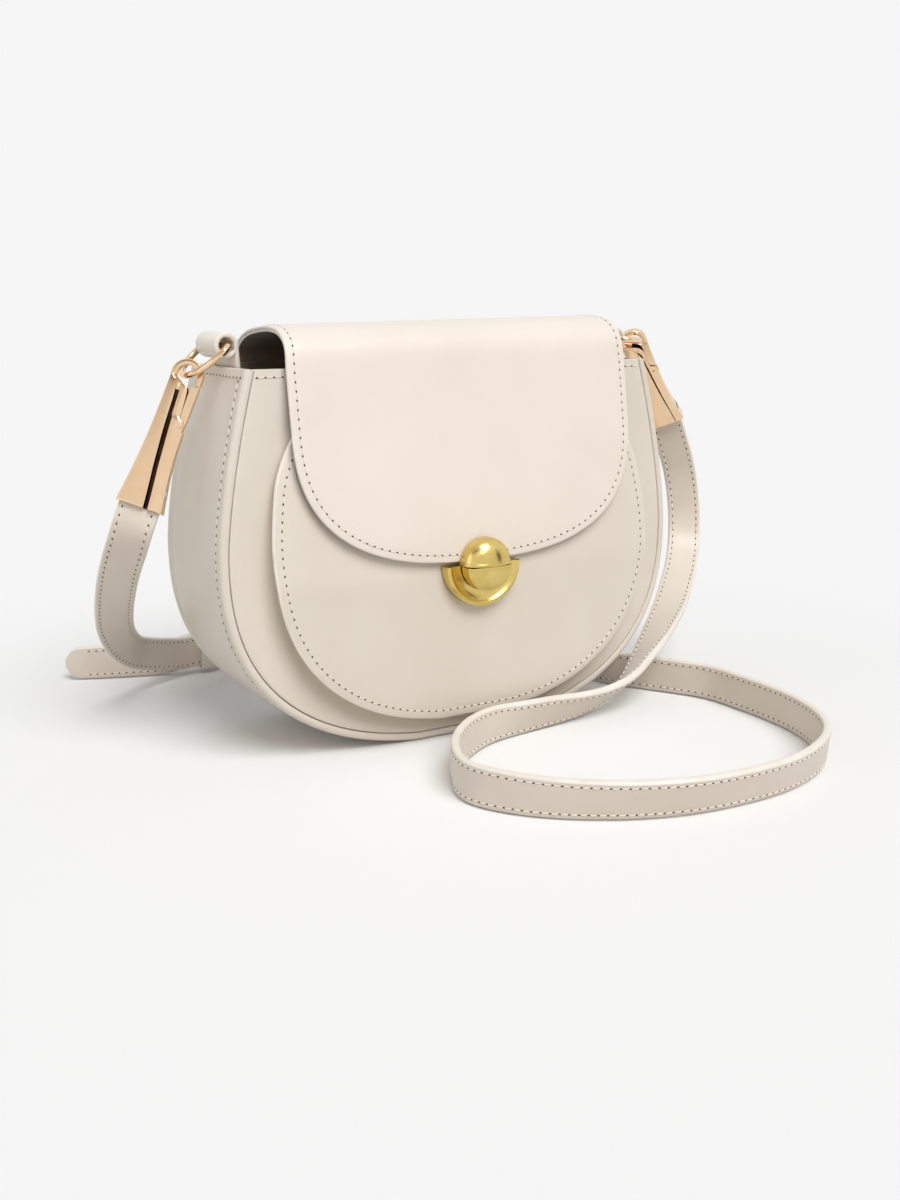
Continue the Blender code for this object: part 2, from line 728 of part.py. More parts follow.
def make_lock(front, backing, outer, inner):
    """The press lock: plate, button, spring and fixings on the pocket, dome and tongue on the flap."""
    skin_y = pocket_y(LOCK_SPLIT_Z - LOCK_PLATE_RADIUS)
    plate_back = skin_y - SEAT_GAP
    rim_y = plate_back - LOCK_PLATE_DEPTH
    split = LOCK_SPLIT_Z - LOCK_SPLIT_GAP
    floor_y = plate_back - HOUSING_WALL
    well = BALL_RADIUS + HOUSING_WALL
    radius = LOCK_PLATE_RADIUS
    profile = [
        (0.0, plate_back), (radius, plate_back), (radius, rim_y + LOCK_PLATE_DEPTH * 0.18),
        (radius * 0.95, rim_y), (radius * 0.89, rim_y), (radius * 0.77, rim_y + LOCK_PLATE_DEPTH * 0.38),
        (well, floor_y - LOCK_PLATE_DEPTH * 0.3), (well, floor_y), (0.0, floor_y),
    ]
    plate = finish("lock_plate", half_turned(profile, split, upper=False), hardware("lock_plate", LOCK_GOLD))
    housing_low = split - HOUSING_HEIGHT
    housing_back = plate_back + HOUSING_DEPTH
    join(plate, tool(box_shape(
        (-HOUSING_HALF_WIDTH, plate_back - HOUSING_WALL / 2, housing_low),
        (HOUSING_HALF_WIDTH, housing_back, split - SEAT_GAP),
    )))
    shank_low = housing_low + HOUSING_WALL + BORE_CLEARANCE
    cavity_half = SHANK_HALF_WIDTH + BORE_CLEARANCE
    cavity_back = housing_back - HOUSING_WALL
    cut(plate, tool(box_shape(
        (-cavity_half, rim_y - CUT_OVERRUN, housing_low + HOUSING_WALL),
        (cavity_half, cavity_back, split + CUT_OVERRUN),
    )))
    hole = HOUSING_HALF_WIDTH + BORE_CLEARANCE
    for sheet in (front, backing):
        cut(sheet, tool(box_shape(
            (-hole, skin_y - CUT_OVERRUN, housing_low - BORE_CLEARANCE),
            (hole, housing_back, split + BORE_CLEARANCE),
        )))

    button_back = floor_y - LOCK_TRAVEL - BORE_CLEARANCE
    button = finish(
        "lock_button",
        half_turned(domed_profile(BALL_RADIUS, button_back, BALL_RISE), split - LOCK_SPLIT_GAP, upper=False),
        hardware("lock_button", LOCK_GOLD),
    )
    tongue_low = LOCK_SPLIT_Z - TONGUE_DROP
    shank_high = tongue_low - SEAT_GAP
    tongue_near = floor_y + TONGUE_SETBACK
    tongue_far = tongue_near + TONGUE_THICKNESS
    tooth_near = tongue_far + SEAT_GAP
    riser_near = tooth_near + TOOTH_REACH
    riser_far = riser_near + TONGUE_THICKNESS + SEAT_GAP
    tooth_high = split - 2 * SEAT_GAP
    join(button, tool(box_shape(
        (-SHANK_HALF_WIDTH, button_back - SEAT_GAP, shank_low),
        (SHANK_HALF_WIDTH, riser_far, shank_high),
    )))
    join(button, tool(box_shape(
        (-SHANK_HALF_WIDTH, riser_near, shank_high - SEAT_GAP),
        (SHANK_HALF_WIDTH, riser_far, tooth_high),
    )))
    join(button, tool(box_shape(
        (-TOOTH_HALF_WIDTH, tooth_near, tooth_high - TOOTH_HEIGHT),
        (TOOTH_HALF_WIDTH, riser_near + SEAT_GAP, tooth_high),
    )))

    coil = []
    coil_from = riser_far + BORE_CLEARANCE + SPRING_WIRE_RADIUS
    coil_to = cavity_back - BORE_CLEARANCE - SPRING_WIRE_RADIUS
    coil_z = (shank_low + tooth_high) / 2
    points_per_turn = 10
    for k in range(SPRING_TURNS * points_per_turn + 1):
        angle = 2 * math.pi * k / points_per_turn
        y = coil_from + (coil_to - coil_from) * k / (SPRING_TURNS * points_per_turn)
        coil.append((SPRING_RADIUS * math.cos(angle), y, coil_z + SPRING_RADIUS * math.sin(angle)))
    spring = loft_shape(tube_sections(coil, SPRING_WIRE_RADIUS, 5, (0.0, 1.0, 0.0)))
    finish("lock_spring", spring, hardware("lock_spring", STEEL))

    clamp_high = split + HOUSING_WALL * 2
    plate_near = pocket_y(clamp_high) + POCKET_LEATHER + 2 * SEAT_GAP + POCKET_LINING
    clamp_far = plate_near + BACK_PLATE_THICKNESS
    clamp = finish("lock_back_plate", box_shape(
        (-BACK_PLATE_HALF_WIDTH, plate_near, clamp_high - BACK_PLATE_HEIGHT),
        (BACK_PLATE_HALF_WIDTH, clamp_far, clamp_high),
    ), hardware("lock_back_plate", STEEL), smooth=False)
    cut(clamp, tool(box_shape(
        (-hole, plate_near - CUT_OVERRUN, housing_low - BORE_CLEARANCE),
        (hole, clamp_far + CUT_OVERRUN, split + BORE_CLEARANCE),
    )))
    screw_z = split - SCREW_DROP
    head_near = clamp_far + SEAT_GAP
    screw_tip = plate_back - HOUSING_WALL
    for name, side in (("left_lock_screw", LEFT), ("right_lock_screw", RIGHT)):
        x = side * SCREW_HALF_SPACING
        for sheet in (front, backing, clamp, plate):
            cut(sheet, tool(rod_shape(
                (x, screw_tip - BORE_CLEARANCE, screw_z), (x, head_near, screw_z), SCREW_RADIUS + BORE_CLEARANCE, 12
            )))
        shank = rod_shape((x, screw_tip, screw_z), (x, head_near + SEAT_GAP, screw_z), SCREW_RADIUS, 12)
        head = rod_shape((x, head_near, screw_z), (x, head_near + BACK_PLATE_THICKNESS, screw_z), SCREW_HEAD_RADIUS, 12)
        join(finish(name, shank, hardware(name, STEEL)), tool(head))

    dome_back = flap_slope_y(FLAP_TIP_Z) - SEAT_GAP
    dome = finish(
        "flap_dome",
        half_turned(domed_profile(DOME_RADIUS, dome_back, DOME_RISE), LOCK_SPLIT_Z, upper=True),
        hardware("flap_dome", LOCK_GOLD), origin=hinge_point(),
    )
    boss_half = TONGUE_HALF_WIDTH - SEAT_GAP
    boss_high = LOCK_SPLIT_Z + BOSS_HEIGHT
    boss_far = tongue_near - SEAT_GAP
    join(dome, tool(box_shape(
        (-boss_half, dome_back - SEAT_GAP, LOCK_SPLIT_Z), (boss_half, boss_far, boss_high)
    )))
    tongue_high = boss_high + SEAT_GAP
    tongue = finish("flap_tongue", box_shape(
        (-TONGUE_HALF_WIDTH, tongue_near, tongue_low), (TONGUE_HALF_WIDTH, tongue_far, tongue_high)
    ), hardware("flap_tongue", STEEL), origin=hinge_point(), smooth=False)
    window = TOOTH_HALF_WIDTH + BORE_CLEARANCE
    cut(tongue, tool(box_shape(
        (-window, tongue_near - CUT_OVERRUN, tooth_high - TOOTH_HEIGHT - BORE_CLEARANCE),
        (window, tongue_far + CUT_OVERRUN, tooth_high + BORE_CLEARANCE),
    )))
    notch = TONGUE_HALF_WIDTH + SEAT_GAP
    for layer in (outer, inner):
        cut(layer, tool(box_shape(
            (-notch, rim_y, tongue_low), (notch, skin_y + CUT_OVERRUN, tongue_high + SEAT_GAP)
        )))
    rivet_z = (LOCK_SPLIT_Z + boss_high) / 2
    for piece in (dome, tongue):
        cut(piece, tool(rod_shape(
            (0.0, dome_back - BORE_CLEARANCE, rivet_z), (0.0, tongue_far + CUT_OVERRUN, rivet_z),
            SCREW_RADIUS + BORE_CLEARANCE, 12,
        )))
    finish("tongue_rivet", rod_shape(
        (0.0, dome_back, rivet_z), (0.0, tongue_far, rivet_z), SCREW_RADIUS, 12
    ), hardware("tongue_rivet", STEEL), origin=hinge_point())

    washer_z = LOCK_SPLIT_Z + DOME_RADIUS * 0.55
    inner_face = flap_slope_y(washer_z + SCREW_HEAD_RADIUS) + FLAP_LEATHER + SEAT_GAP + FLAP_LINING
    washer_near = inner_face + SEAT_GAP / 2
    washer_far = washer_near + SEAT_GAP + BORE_CLEARANCE / 3
    post_x = DOME_RADIUS * 0.52
    washer = finish("flap_back_plate", box_shape(
        (-post_x - SCREW_HEAD_RADIUS, washer_near, washer_z - SCREW_HEAD_RADIUS / 2),
        (post_x + SCREW_HEAD_RADIUS, washer_far, washer_z + SCREW_HEAD_RADIUS / 2),
    ), hardware("flap_back_plate", STEEL), origin=hinge_point(), smooth=False)
    for side in (LEFT, RIGHT):
        x = side * post_x
        for piece in (dome, outer, inner):
            cut(piece, tool(rod_shape(
                (x, dome_back - LOCK_TRAVEL, washer_z), (x, washer_near + SEAT_GAP / 2, washer_z),
                SCREW_RADIUS + BORE_CLEARANCE, 12,
            )))
        join(washer, tool(rod_shape(
            (x, dome_back - LOCK_TRAVEL + SEAT_GAP, washer_z), (x, washer_far - SEAT_GAP / 2, washer_z),
            SCREW_RADIUS, 12,
        )))


def ring_frame(side, droop):
    """Directions and the centre of a ring's straight bar; out points away from the bag and down."""
    out = Vector((side * math.cos(droop), 0.0, -math.sin(droop)))
    return Vector((side * TAB_X, 0.0, TAB_Z)), out


def make_tab(name, side):
    """A leather tube for the ring's bar, with a neck that goes down inside the gusset."""
    centre = Vector((side * TAB_X, 0.0, TAB_Z))
    half = Vector((0.0, TAB_LENGTH / 2, 0.0))
    tab = finish(name, rod_shape(centre - half, centre + half, TAB_OUTER_RADIUS, 20), leather(name))
    inner_x = PANEL_TOP_HALF_WIDTH + PANEL_BOTTOM_Z - LEATHER - BOARD - LINING - 4 * SEAT_GAP
    low = Vector((side * (inner_x - TAB_NECK_WALL), -TAB_LENGTH * 0.4, BODY_TOP_Z - TAB_NECK_DEPTH))
    high = Vector((side * inner_x, TAB_LENGTH * 0.4, TAB_Z - TAB_BORE_RADIUS / 2))
    corners = [sorted(pair) for pair in zip(low, high)]
    join(tab, tool(box_shape([c[0] for c in corners], [c[1] for c in corners])))
    long = Vector((0.0, TAB_LENGTH / 2 + CUT_OVERRUN, 0.0))
    cut(tab, tool(rod_shape(centre - long, centre + long, TAB_BORE_RADIUS, 20)))
    return tab


def make_ring(name, side, droop):
    """A D-ring of round wire, its straight bar in the tab's bore."""
    centre, out = ring_frame(side, droop)
    across = Vector((0.0, 1.0, 0.0))
    corner = RING_CORNER_RADIUS
    points = []
    bar_steps = 4
    straight = RING_HALF_WIDTH - corner
    for k in range(bar_steps + 1):
        points.append((straight - 2 * straight * k / bar_steps, 0.0))
    corner_steps = 3
    for k in range(1, corner_steps + 1):
        angle = math.pi / 2 * k / corner_steps
        points.append((-straight - corner * math.sin(angle), corner - corner * math.cos(angle)))
    bow_steps = 14
    bow = RING_REACH - corner
    for k in range(1, bow_steps + 1):
        angle = math.pi * k / bow_steps
        points.append((-RING_HALF_WIDTH * math.cos(angle), corner + bow * math.sin(angle)))
    for k in range(1, corner_steps):
        angle = math.pi / 2 * k / corner_steps
        points.append((straight + corner * math.cos(angle), corner - corner * math.sin(angle)))
    path = [centre + across * u + out * v for u, v in points]
    normal = across.cross(out)
    shape = loft_shape(tube_sections(path, RING_WIRE_RADIUS, 8, normal, closed=True), closed=True)
    return finish(name, shape, hardware(name), origin=centre)


def hook_place(side, droop):
    """Centre of the ring's wire where the snap hook hangs."""
    centre, out = ring_frame(side, droop)
    forward = HOOK_SHIFT if side == LEFT else 0.0
    bow = RING_REACH - RING_CORNER_RADIUS
    reach = RING_CORNER_RADIUS + bow * math.sqrt(1 - (forward / RING_HALF_WIDTH) ** 2)
    return centre + out * reach + Vector((0.0, -forward, 0.0))


def hook_frame(side):
    """The snap hook's matrix: local X across it, local Z up towards the ring, turned as it lies."""
    if side == LEFT:
        origin = hook_place(LEFT, LEFT_RING_DROOP)
        beside = PANEL_HALF_WIDTH + LEFT_BELL_OUTSET + origin.x
        down = Vector((-beside, -LEFT_BELL_FORWARD, -LEFT_BELL_DROP)).normalized()
        across = Vector((0.788, -0.544, -0.286))
    else:
        origin = hook_place(RIGHT, RIGHT_RING_DROOP)
        down = Vector((0.6226, 0.282, -0.7296)).normalized()
        across = Vector((0.687, -0.645, 0.337))
    across = (across - down * across.dot(down)).normalized()
    depth = (-down).cross(across)
    turn = Matrix((across, depth, -down)).transposed().to_4x4()
    return Matrix.Translation(origin) @ turn


def placed(shape, matrix):
    """Move a bmesh from its own frame to its place."""
    bmesh.ops.transform(shape, matrix=matrix, verts=shape.verts)
    return shape


def hook_outline():
    """(x, z) outline of the hook: its left neck, the round top and the short tip above the gate."""
    points = [(-HOOK_NECK_OUTER, -BELL_TOP_S - CUT_OVERRUN)]
    top_steps = 12
    for k in range(top_steps + 1):
        angle = math.pi - math.pi * k / top_steps
        points.append((HOOK_OUTER_RADIUS * math.cos(angle), HOOK_OUTER_RADIUS * math.sin(angle)))
    tip_z = -GATE_TIP_S + 2 * SEAT_GAP
    points.append((HOOK_OUTER_RADIUS, tip_z))
    points.append((HOOK_SLOT_HALF_WIDTH, tip_z))
    inner_from = math.asin(tip_z / HOOK_EYE_RADIUS)
    eye_steps = 10
    for k in range(1, eye_steps + 1):
        angle = inner_from + (math.pi - 2 * inner_from) * k / eye_steps
        points.append((HOOK_EYE_RADIUS * math.cos(angle), HOOK_EYE_RADIUS * math.sin(angle)))
    points.append((-HOOK_SLOT_HALF_WIDTH, -BELL_TOP_S * 0.8))
    points.append((-HOOK_SLOT_HALF_WIDTH, -BELL_TOP_S - CUT_OVERRUN))
    return points


def make_snap_hook(prefix, side, droop):
    """A bell-shaped snap hook: hook and bell in one, a gate on its pin, and the strap's rivet."""
    matrix = hook_frame(side)
    origin = hook_place(side, droop)
    body = finish(
        prefix + "_snap_hook",
        prism_shape(hook_outline(), -HOOK_HALF_THICKNESS, HOOK_HALF_THICKNESS),
        hardware(prefix + "_snap_hook"),
    )
    sections = []
    flare_shares = ((0.0, 0.0), (0.18, 0.04), (0.42, 0.26), (0.68, 0.56), (1.0, 1.0))
    for down, wide in flare_shares:
        z = -(BELL_TOP_S + (BELL_MOUTH_S - BELL_TOP_S) * down)
        x = BELL_TOP_HALF_WIDTH + (BELL_MOUTH_HALF_WIDTH - BELL_TOP_HALF_WIDTH) * wide
        y = BELL_TOP_HALF_THICKNESS + (BELL_MOUTH_HALF_THICKNESS - BELL_TOP_HALF_THICKNESS) * wide
        sections.append([(-x, -y, z), (x, -y, z), (x, y, z), (-x, y, z)])
    join(body, tool(loft_shape(sections)))
    socket_x = STRAP_WIDTH / 2 + SEAT_GAP
    socket_y = STRAP_THICKNESS / 2 + SEAT_GAP
    cut(body, tool(box_shape(
        (-socket_x, -socket_y, -BELL_MOUTH_S - CUT_OVERRUN),
        (socket_x, socket_y, -BELL_MOUTH_S + SOCKET_DEPTH),
    )))
    cheek = GATE_HALF_THICKNESS + BORE_CLEARANCE
    gate_foot = GATE_PIVOT_S + GATE_HALF_WIDTH + BORE_CLEARANCE
    cut(body, tool(box_shape(
        (-HOOK_SLOT_HALF_WIDTH, -cheek, -gate_foot), (BELL_MOUTH_HALF_WIDTH, cheek, -BELL_TOP_S + CUT_OVERRUN)
    )))
    pin_reach = BELL_TOP_HALF_THICKNESS
    cut(body, tool(rod_shape(
        (GATE_X, -pin_reach - CUT_OVERRUN, -GATE_PIVOT_S), (GATE_X, pin_reach + CUT_OVERRUN, -GATE_PIVOT_S),
        GATE_PIN_RADIUS + BORE_CLEARANCE / 3, 12,
    )))
    rivet_reach = BELL_MOUTH_HALF_THICKNESS
    cut(body, tool(rod_shape(
        (0.0, -rivet_reach - CUT_OVERRUN, -RIVET_S), (0.0, rivet_reach + CUT_OVERRUN, -RIVET_S),
        RIVET_RADIUS + BORE_CLEARANCE, 12,
    )))
    settle(body, matrix, origin)

    gate_points = [
        (GATE_X - GATE_HALF_WIDTH, -GATE_PIVOT_S - GATE_HALF_WIDTH / 2),
        (GATE_X - GATE_HALF_WIDTH, -GATE_TIP_S - GATE_HALF_WIDTH),
        (GATE_X - GATE_HALF_WIDTH, -GATE_TIP_S),
        (GATE_X + GATE_HALF_WIDTH, -GATE_TIP_S),
        (GATE_X + GATE_HALF_WIDTH, -GATE_PIVOT_S * 0.45),
        (GATE_X + GATE_HALF_WIDTH * 1.7, -GATE_PIVOT_S * 0.62),
        (GATE_X + GATE_HALF_WIDTH, -GATE_PIVOT_S * 0.85),
        (GATE_X + GATE_HALF_WIDTH, -GATE_PIVOT_S - GATE_HALF_WIDTH / 2),
        (GATE_X + GATE_HALF_WIDTH / 2, -GATE_PIVOT_S - GATE_HALF_WIDTH),
        (GATE_X - GATE_HALF_WIDTH / 2, -GATE_PIVOT_S - GATE_HALF_WIDTH),
    ]
    gate = finish(
        prefix + "_hook_gate", prism_shape(gate_points, -GATE_HALF_THICKNESS, GATE_HALF_THICKNESS),
        hardware(prefix + "_hook_gate"), smooth=False,
    )
    cut(gate, tool(rod_shape(
        (GATE_X, -pin_reach, -GATE_PIVOT_S), (GATE_X, pin_reach, -GATE_PIVOT_S),
        GATE_PIN_RADIUS + BORE_CLEARANCE / 3, 12,
    )))
    settle(gate, matrix, matrix @ Vector((GATE_X, 0.0, -GATE_PIVOT_S)))
    pin = finish(prefix + "_gate_pin", rod_shape(
        (GATE_X, -pin_reach, -GATE_PIVOT_S), (GATE_X, pin_reach, -GATE_PIVOT_S), GATE_PIN_RADIUS, 12
    ), hardware(prefix + "_gate_pin"))
    settle(pin, matrix, origin)
    rivet = finish(prefix + "_strap_rivet", rod_shape(
        (0.0, -rivet_reach, -RIVET_S), (0.0, rivet_reach, -RIVET_S), RIVET_RADIUS, 12
    ), hardware(prefix + "_strap_rivet"))
    settle(rivet, matrix, origin)


def settle(piece, matrix, origin):
    """Turn a piece made in the hook's frame into place, with its own origin at a world point."""
    piece.data.transform(matrix)
    piece.data.transform(Matrix.Translation(-Vector(origin)))
    piece.location = origin


def ribbon_stations(route):
    """Evenly spaced (place, along, across) on a smooth line through the route's points."""
    places = smooth_curve([point for point, _ in route], 24)
    sides = smooth_curve([across for _, across in route], 24)
    lengths = [0.0]
    for a, b in zip(places, places[1:]):
        lengths.append(lengths[-1] + (b - a).length)
    count = max(2, round(lengths[-1] / STRAP_STEP))
    even = []
    k = 0
    for i in range(count + 1):
        goal = lengths[-1] * i / count
        while k < len(lengths) - 2 and lengths[k + 1] < goal:
            k += 1
        t = (goal - lengths[k]) / (lengths[k + 1] - lengths[k])
        even.append((places[k].lerp(places[k + 1], t), sides[k].lerp(sides[k + 1], t)))
    stations = []
    for i, (place, across) in enumerate(even):
        along = (even[min(i + 1, count)][0] - even[max(i - 1, 0)][0]).normalized()
        across = (across - along * across.dot(along)).normalized()
        stations.append((place, along, across))
    return stations, lengths[-1]


def ribbon_shape(stations, total, rounded_end=False):
    """A flat strap of constant section, its far end rounded if asked."""
    sections = []
    count = len(stations) - 1
    for i, (place, along, across) in enumerate(stations):
        half = STRAP_WIDTH / 2
        left = total * (count - i) / count
        if rounded_end and left < STRAP_TIP_LENGTH:
            inward = 1 - left / STRAP_TIP_LENGTH
            half = STRAP_TIP_HALF_WIDTH + (half - STRAP_TIP_HALF_WIDTH) * math.sqrt(1 - inward**2)
        thick = along.cross(across) * (STRAP_THICKNESS / 2)
        wide = across * half
        sections.append([place - wide - thick, place + wide - thick, place + wide + thick, place - wide + thick])
    return loft_shape(sections)


def strap_start(side):
    """Points and width direction of the strap inside its bell and just below it."""
    matrix = hook_frame(side)
    across = (matrix.to_3x3() @ Vector((1.0, 0.0, 0.0))).normalized()
    reaches = (BELL_MOUTH_S - SOCKET_DEPTH + SEAT_GAP, BELL_MOUTH_S, BELL_MOUTH_S + STRAP_STEP)
    return [(matrix @ Vector((0.0, 0.0, -reach)), across) for reach in reaches]


def strap_short_route():
    """From the left bell down behind the bag, on to the floor and along it to the buckle."""
    up = Vector((0.0, 0.0, 1.0))
    route = strap_start(LEFT)
    route += [(PANEL_HALF_WIDTH * Vector(place), Vector(across)) for place, across in SHORT_HANGING_SHARES]
    before_keeper = KEEPER_X - KEEPER_LENGTH
    route.append((Vector((before_keeper - STRAP_STEP * 1.1, BUCKLE_Y - STRAP_THICKNESS, BUCKLE_Z + SEAT_GAP)), up))
    route.append((Vector((before_keeper + SEAT_GAP, BUCKLE_Y - SEAT_GAP, BUCKLE_Z)), up))
    route.append((Vector((KEEPER_X, BUCKLE_Y, BUCKLE_Z)), up))
    route.append((Vector((BUCKLE_X - STRAP_EYE_RADIUS / 2, BUCKLE_Y, BUCKLE_Z)), up))
    return route


def strap_long_route():
    """From the right bell down to the floor, round the loop, under the bag's side and through the buckle."""
    up = Vector((0.0, 0.0, 1.0))
    level = STRAP_WIDTH / 2 + FLOOR_RISE
    behind = STRAP_THICKNESS + SEAT_GAP
    side_gap = BUCKLE_WIRE_RADIUS + SEAT_GAP + STRAP_THICKNESS / 2
    over = STRAP_EYE_RADIUS + SEAT_GAP + STRAP_THICKNESS / 2
    free_bar_x = BUCKLE_X + BUCKLE_LENGTH
    through = [
        (free_bar_x + side_gap * 3, BUCKLE_Y - side_gap - SEAT_GAP),
        (free_bar_x + side_gap, BUCKLE_Y - side_gap - SEAT_GAP),
        (free_bar_x - side_gap / 3, BUCKLE_Y - side_gap),
        (BUCKLE_X + BUCKLE_LENGTH / 2, BUCKLE_Y + SEAT_GAP),
        (BUCKLE_X + side_gap / 2, BUCKLE_Y + over),
        (BUCKLE_X - side_gap, BUCKLE_Y + over),
        (BUCKLE_X - side_gap * 4, BUCKLE_Y + behind),
        (KEEPER_X, BUCKLE_Y + behind),
    ]
    route = strap_start(RIGHT)
    route += [(PANEL_HALF_WIDTH * Vector(place), Vector(across)) for place, across in LONG_HANGING_SHARES]
    for x, y, lean in LOOP_SHARES:
        place = Vector((x * PANEL_HALF_WIDTH, y * PANEL_HALF_WIDTH, level))
        route.append((place, Vector((0.0, -lean, 1.0)).normalized()))
    route += [(Vector((x, y, BUCKLE_Z)), up) for x, y in through]
    route.append((Vector((KEEPER_X - KEEPER_LENGTH, BUCKLE_Y + behind, BUCKLE_Z)), up))
    route += [(Vector((x * PANEL_HALF_WIDTH, y * PANEL_HALF_WIDTH, level)), up) for x, y in TAIL_SHARES]
    return route


def rivet_hole(strap, side):
    """Cut the strap for the rivet in its bell."""
    matrix = hook_frame(side)
    reach = BELL_MOUTH_HALF_THICKNESS
    shape = rod_shape((0.0, -reach, -RIVET_S), (0.0, reach, -RIVET_S), RIVET_RADIUS + BORE_CLEARANCE, 12)
    cut(strap, tool(placed(shape, matrix)))


def make_straps():
    """Both lengths of the strap, with the buckle's eye and the prong's hole."""
    stations, total = ribbon_stations(strap_short_route())
    short = finish("strap_short", ribbon_shape(stations, total), leather("strap_short"))
    half = Vector((0.0, 0.0, STRAP_WIDTH / 2))
    bar = Vector((BUCKLE_X, BUCKLE_Y, BUCKLE_Z))
    join(short, tool(rod_shape(bar - half, bar + half, STRAP_EYE_RADIUS, 16)))
    cut(short, tool(rod_shape(bar - 2 * half, bar + 2 * half, STRAP_EYE_BORE, 16)))
    notch = PRONG_HALF_WIDTH + BORE_CLEARANCE
    cut(short, tool(box_shape(
        (BUCKLE_X - STRAP_EYE_RADIUS - BORE_CLEARANCE, BUCKLE_Y - CUT_OVERRUN * 2, BUCKLE_Z - notch),
        (BUCKLE_X + STRAP_EYE_RADIUS * 2, BUCKLE_Y + CUT_OVERRUN * 2, BUCKLE_Z + notch),
    )))
    rivet_hole(short, LEFT)
    stations, total = ribbon_stations(strap_long_route())
    long = finish("strap_long", ribbon_shape(stations, total, rounded_end=True), leather("strap_long"))
    rivet_hole(long, RIGHT)
    slot_half = BUCKLE_LENGTH * 0.32
    middle = BUCKLE_X + BUCKLE_LENGTH * 0.47
    cut(long, tool(box_shape(
        (middle - slot_half, BUCKLE_Y - STRAP_WIDTH / 2, BUCKLE_Z - notch),
        (middle + slot_half, BUCKLE_Y + STRAP_WIDTH / 2, BUCKLE_Z + notch),
    )))


def make_buckle():
    """Buckle frame, prong and the keeper that holds the strap's tail."""
    corner_steps = 4
    corner = BUCKLE_WIRE_RADIUS * 1.6
    left_x, right_x = BUCKLE_X, BUCKLE_X + BUCKLE_LENGTH
    low_z, high_z = BUCKLE_Z - BUCKLE_HALF_HEIGHT, BUCKLE_Z + BUCKLE_HALF_HEIGHT
    corners = (
        (right_x - corner, high_z - corner, 0.0), (left_x + corner, high_z - corner, 0.5),
        (left_x + corner, low_z + corner, 1.0), (right_x - corner, low_z + corner, 1.5),
    )
    path = []
    for x, z, start_share in corners:
        for k in range(corner_steps + 1):
            angle = math.pi * start_share + math.pi / 2 * k / corner_steps
            path.append((x + corner * math.cos(angle), BUCKLE_Y, z + corner * math.sin(angle)))
    shape = loft_shape(tube_sections(path, BUCKLE_WIRE_RADIUS, 8, (0.0, 1.0, 0.0), closed=True), closed=True)
    finish("buckle_frame", shape, hardware("buckle_frame"))

    bar = Vector((BUCKLE_X, BUCKLE_Y, BUCKLE_Z))
    wide = Vector((0.0, 0.0, PRONG_HALF_WIDTH))
    tip_y = BUCKLE_Y + BUCKLE_WIRE_RADIUS + SEAT_GAP + PRONG_RADIUS
    root = bar + Vector((STRAP_EYE_BORE, 0.0, 0.0))
    tip = Vector((right_x + BUCKLE_WIRE_RADIUS, tip_y, BUCKLE_Z))
    prong = finish("buckle_prong", rod_shape(bar - wide, bar + wide, PRONG_EYE_RADIUS, 16),
                   hardware("buckle_prong"), origin=bar)
    join(prong, tool(rod_shape(root, tip, PRONG_RADIUS, 10)))
    cut(prong, tool(rod_shape(bar - 2 * wide, bar + 2 * wide, STRAP_EYE_BORE, 16)))

    behind = STRAP_THICKNESS + SEAT_GAP
    low_y = BUCKLE_Y - STRAP_THICKNESS / 2 - SEAT_GAP
    high_y = BUCKLE_Y + behind + STRAP_THICKNESS / 2 + SEAT_GAP
    half = STRAP_WIDTH / 2 + SEAT_GAP
    near_x, far_x = KEEPER_X - KEEPER_LENGTH / 2, KEEPER_X + KEEPER_LENGTH / 2
    keeper = finish("strap_keeper", box_shape(
        (near_x, low_y - KEEPER_WALL, BUCKLE_Z - half - KEEPER_WALL),
        (far_x, high_y + KEEPER_WALL, BUCKLE_Z + half + KEEPER_WALL),
    ), leather("strap_keeper"), origin=(KEEPER_X, BUCKLE_Y, BUCKLE_Z), smooth=False)
    cut(keeper, tool(box_shape(
        (near_x - CUT_OVERRUN, low_y, BUCKLE_Z - half), (far_x + CUT_OVERRUN, high_y, BUCKLE_Z + half)
    )))


def main():
    """Build every sub-part of the bag."""
    clear_scene()
    make_body()
    front, backing = make_pocket()
    outer, inner = make_flap()
    make_lock(front, backing, outer, inner)
    for prefix, side, droop in (("left", LEFT, LEFT_RING_DROOP), ("right", RIGHT, RIGHT_RING_DROOP)):
        make_tab(prefix + "_tab", side)
        make_ring(prefix + "_ring", side, droop)
        make_snap_hook(prefix, side, droop)
    make_straps()
    make_buckle()


main()
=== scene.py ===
"""Looks of a cream leather crossbody saddle bag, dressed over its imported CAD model.

Metres, +Z up, the flap faces -Y. Every length below is in metres unless its name says otherwise.
"""

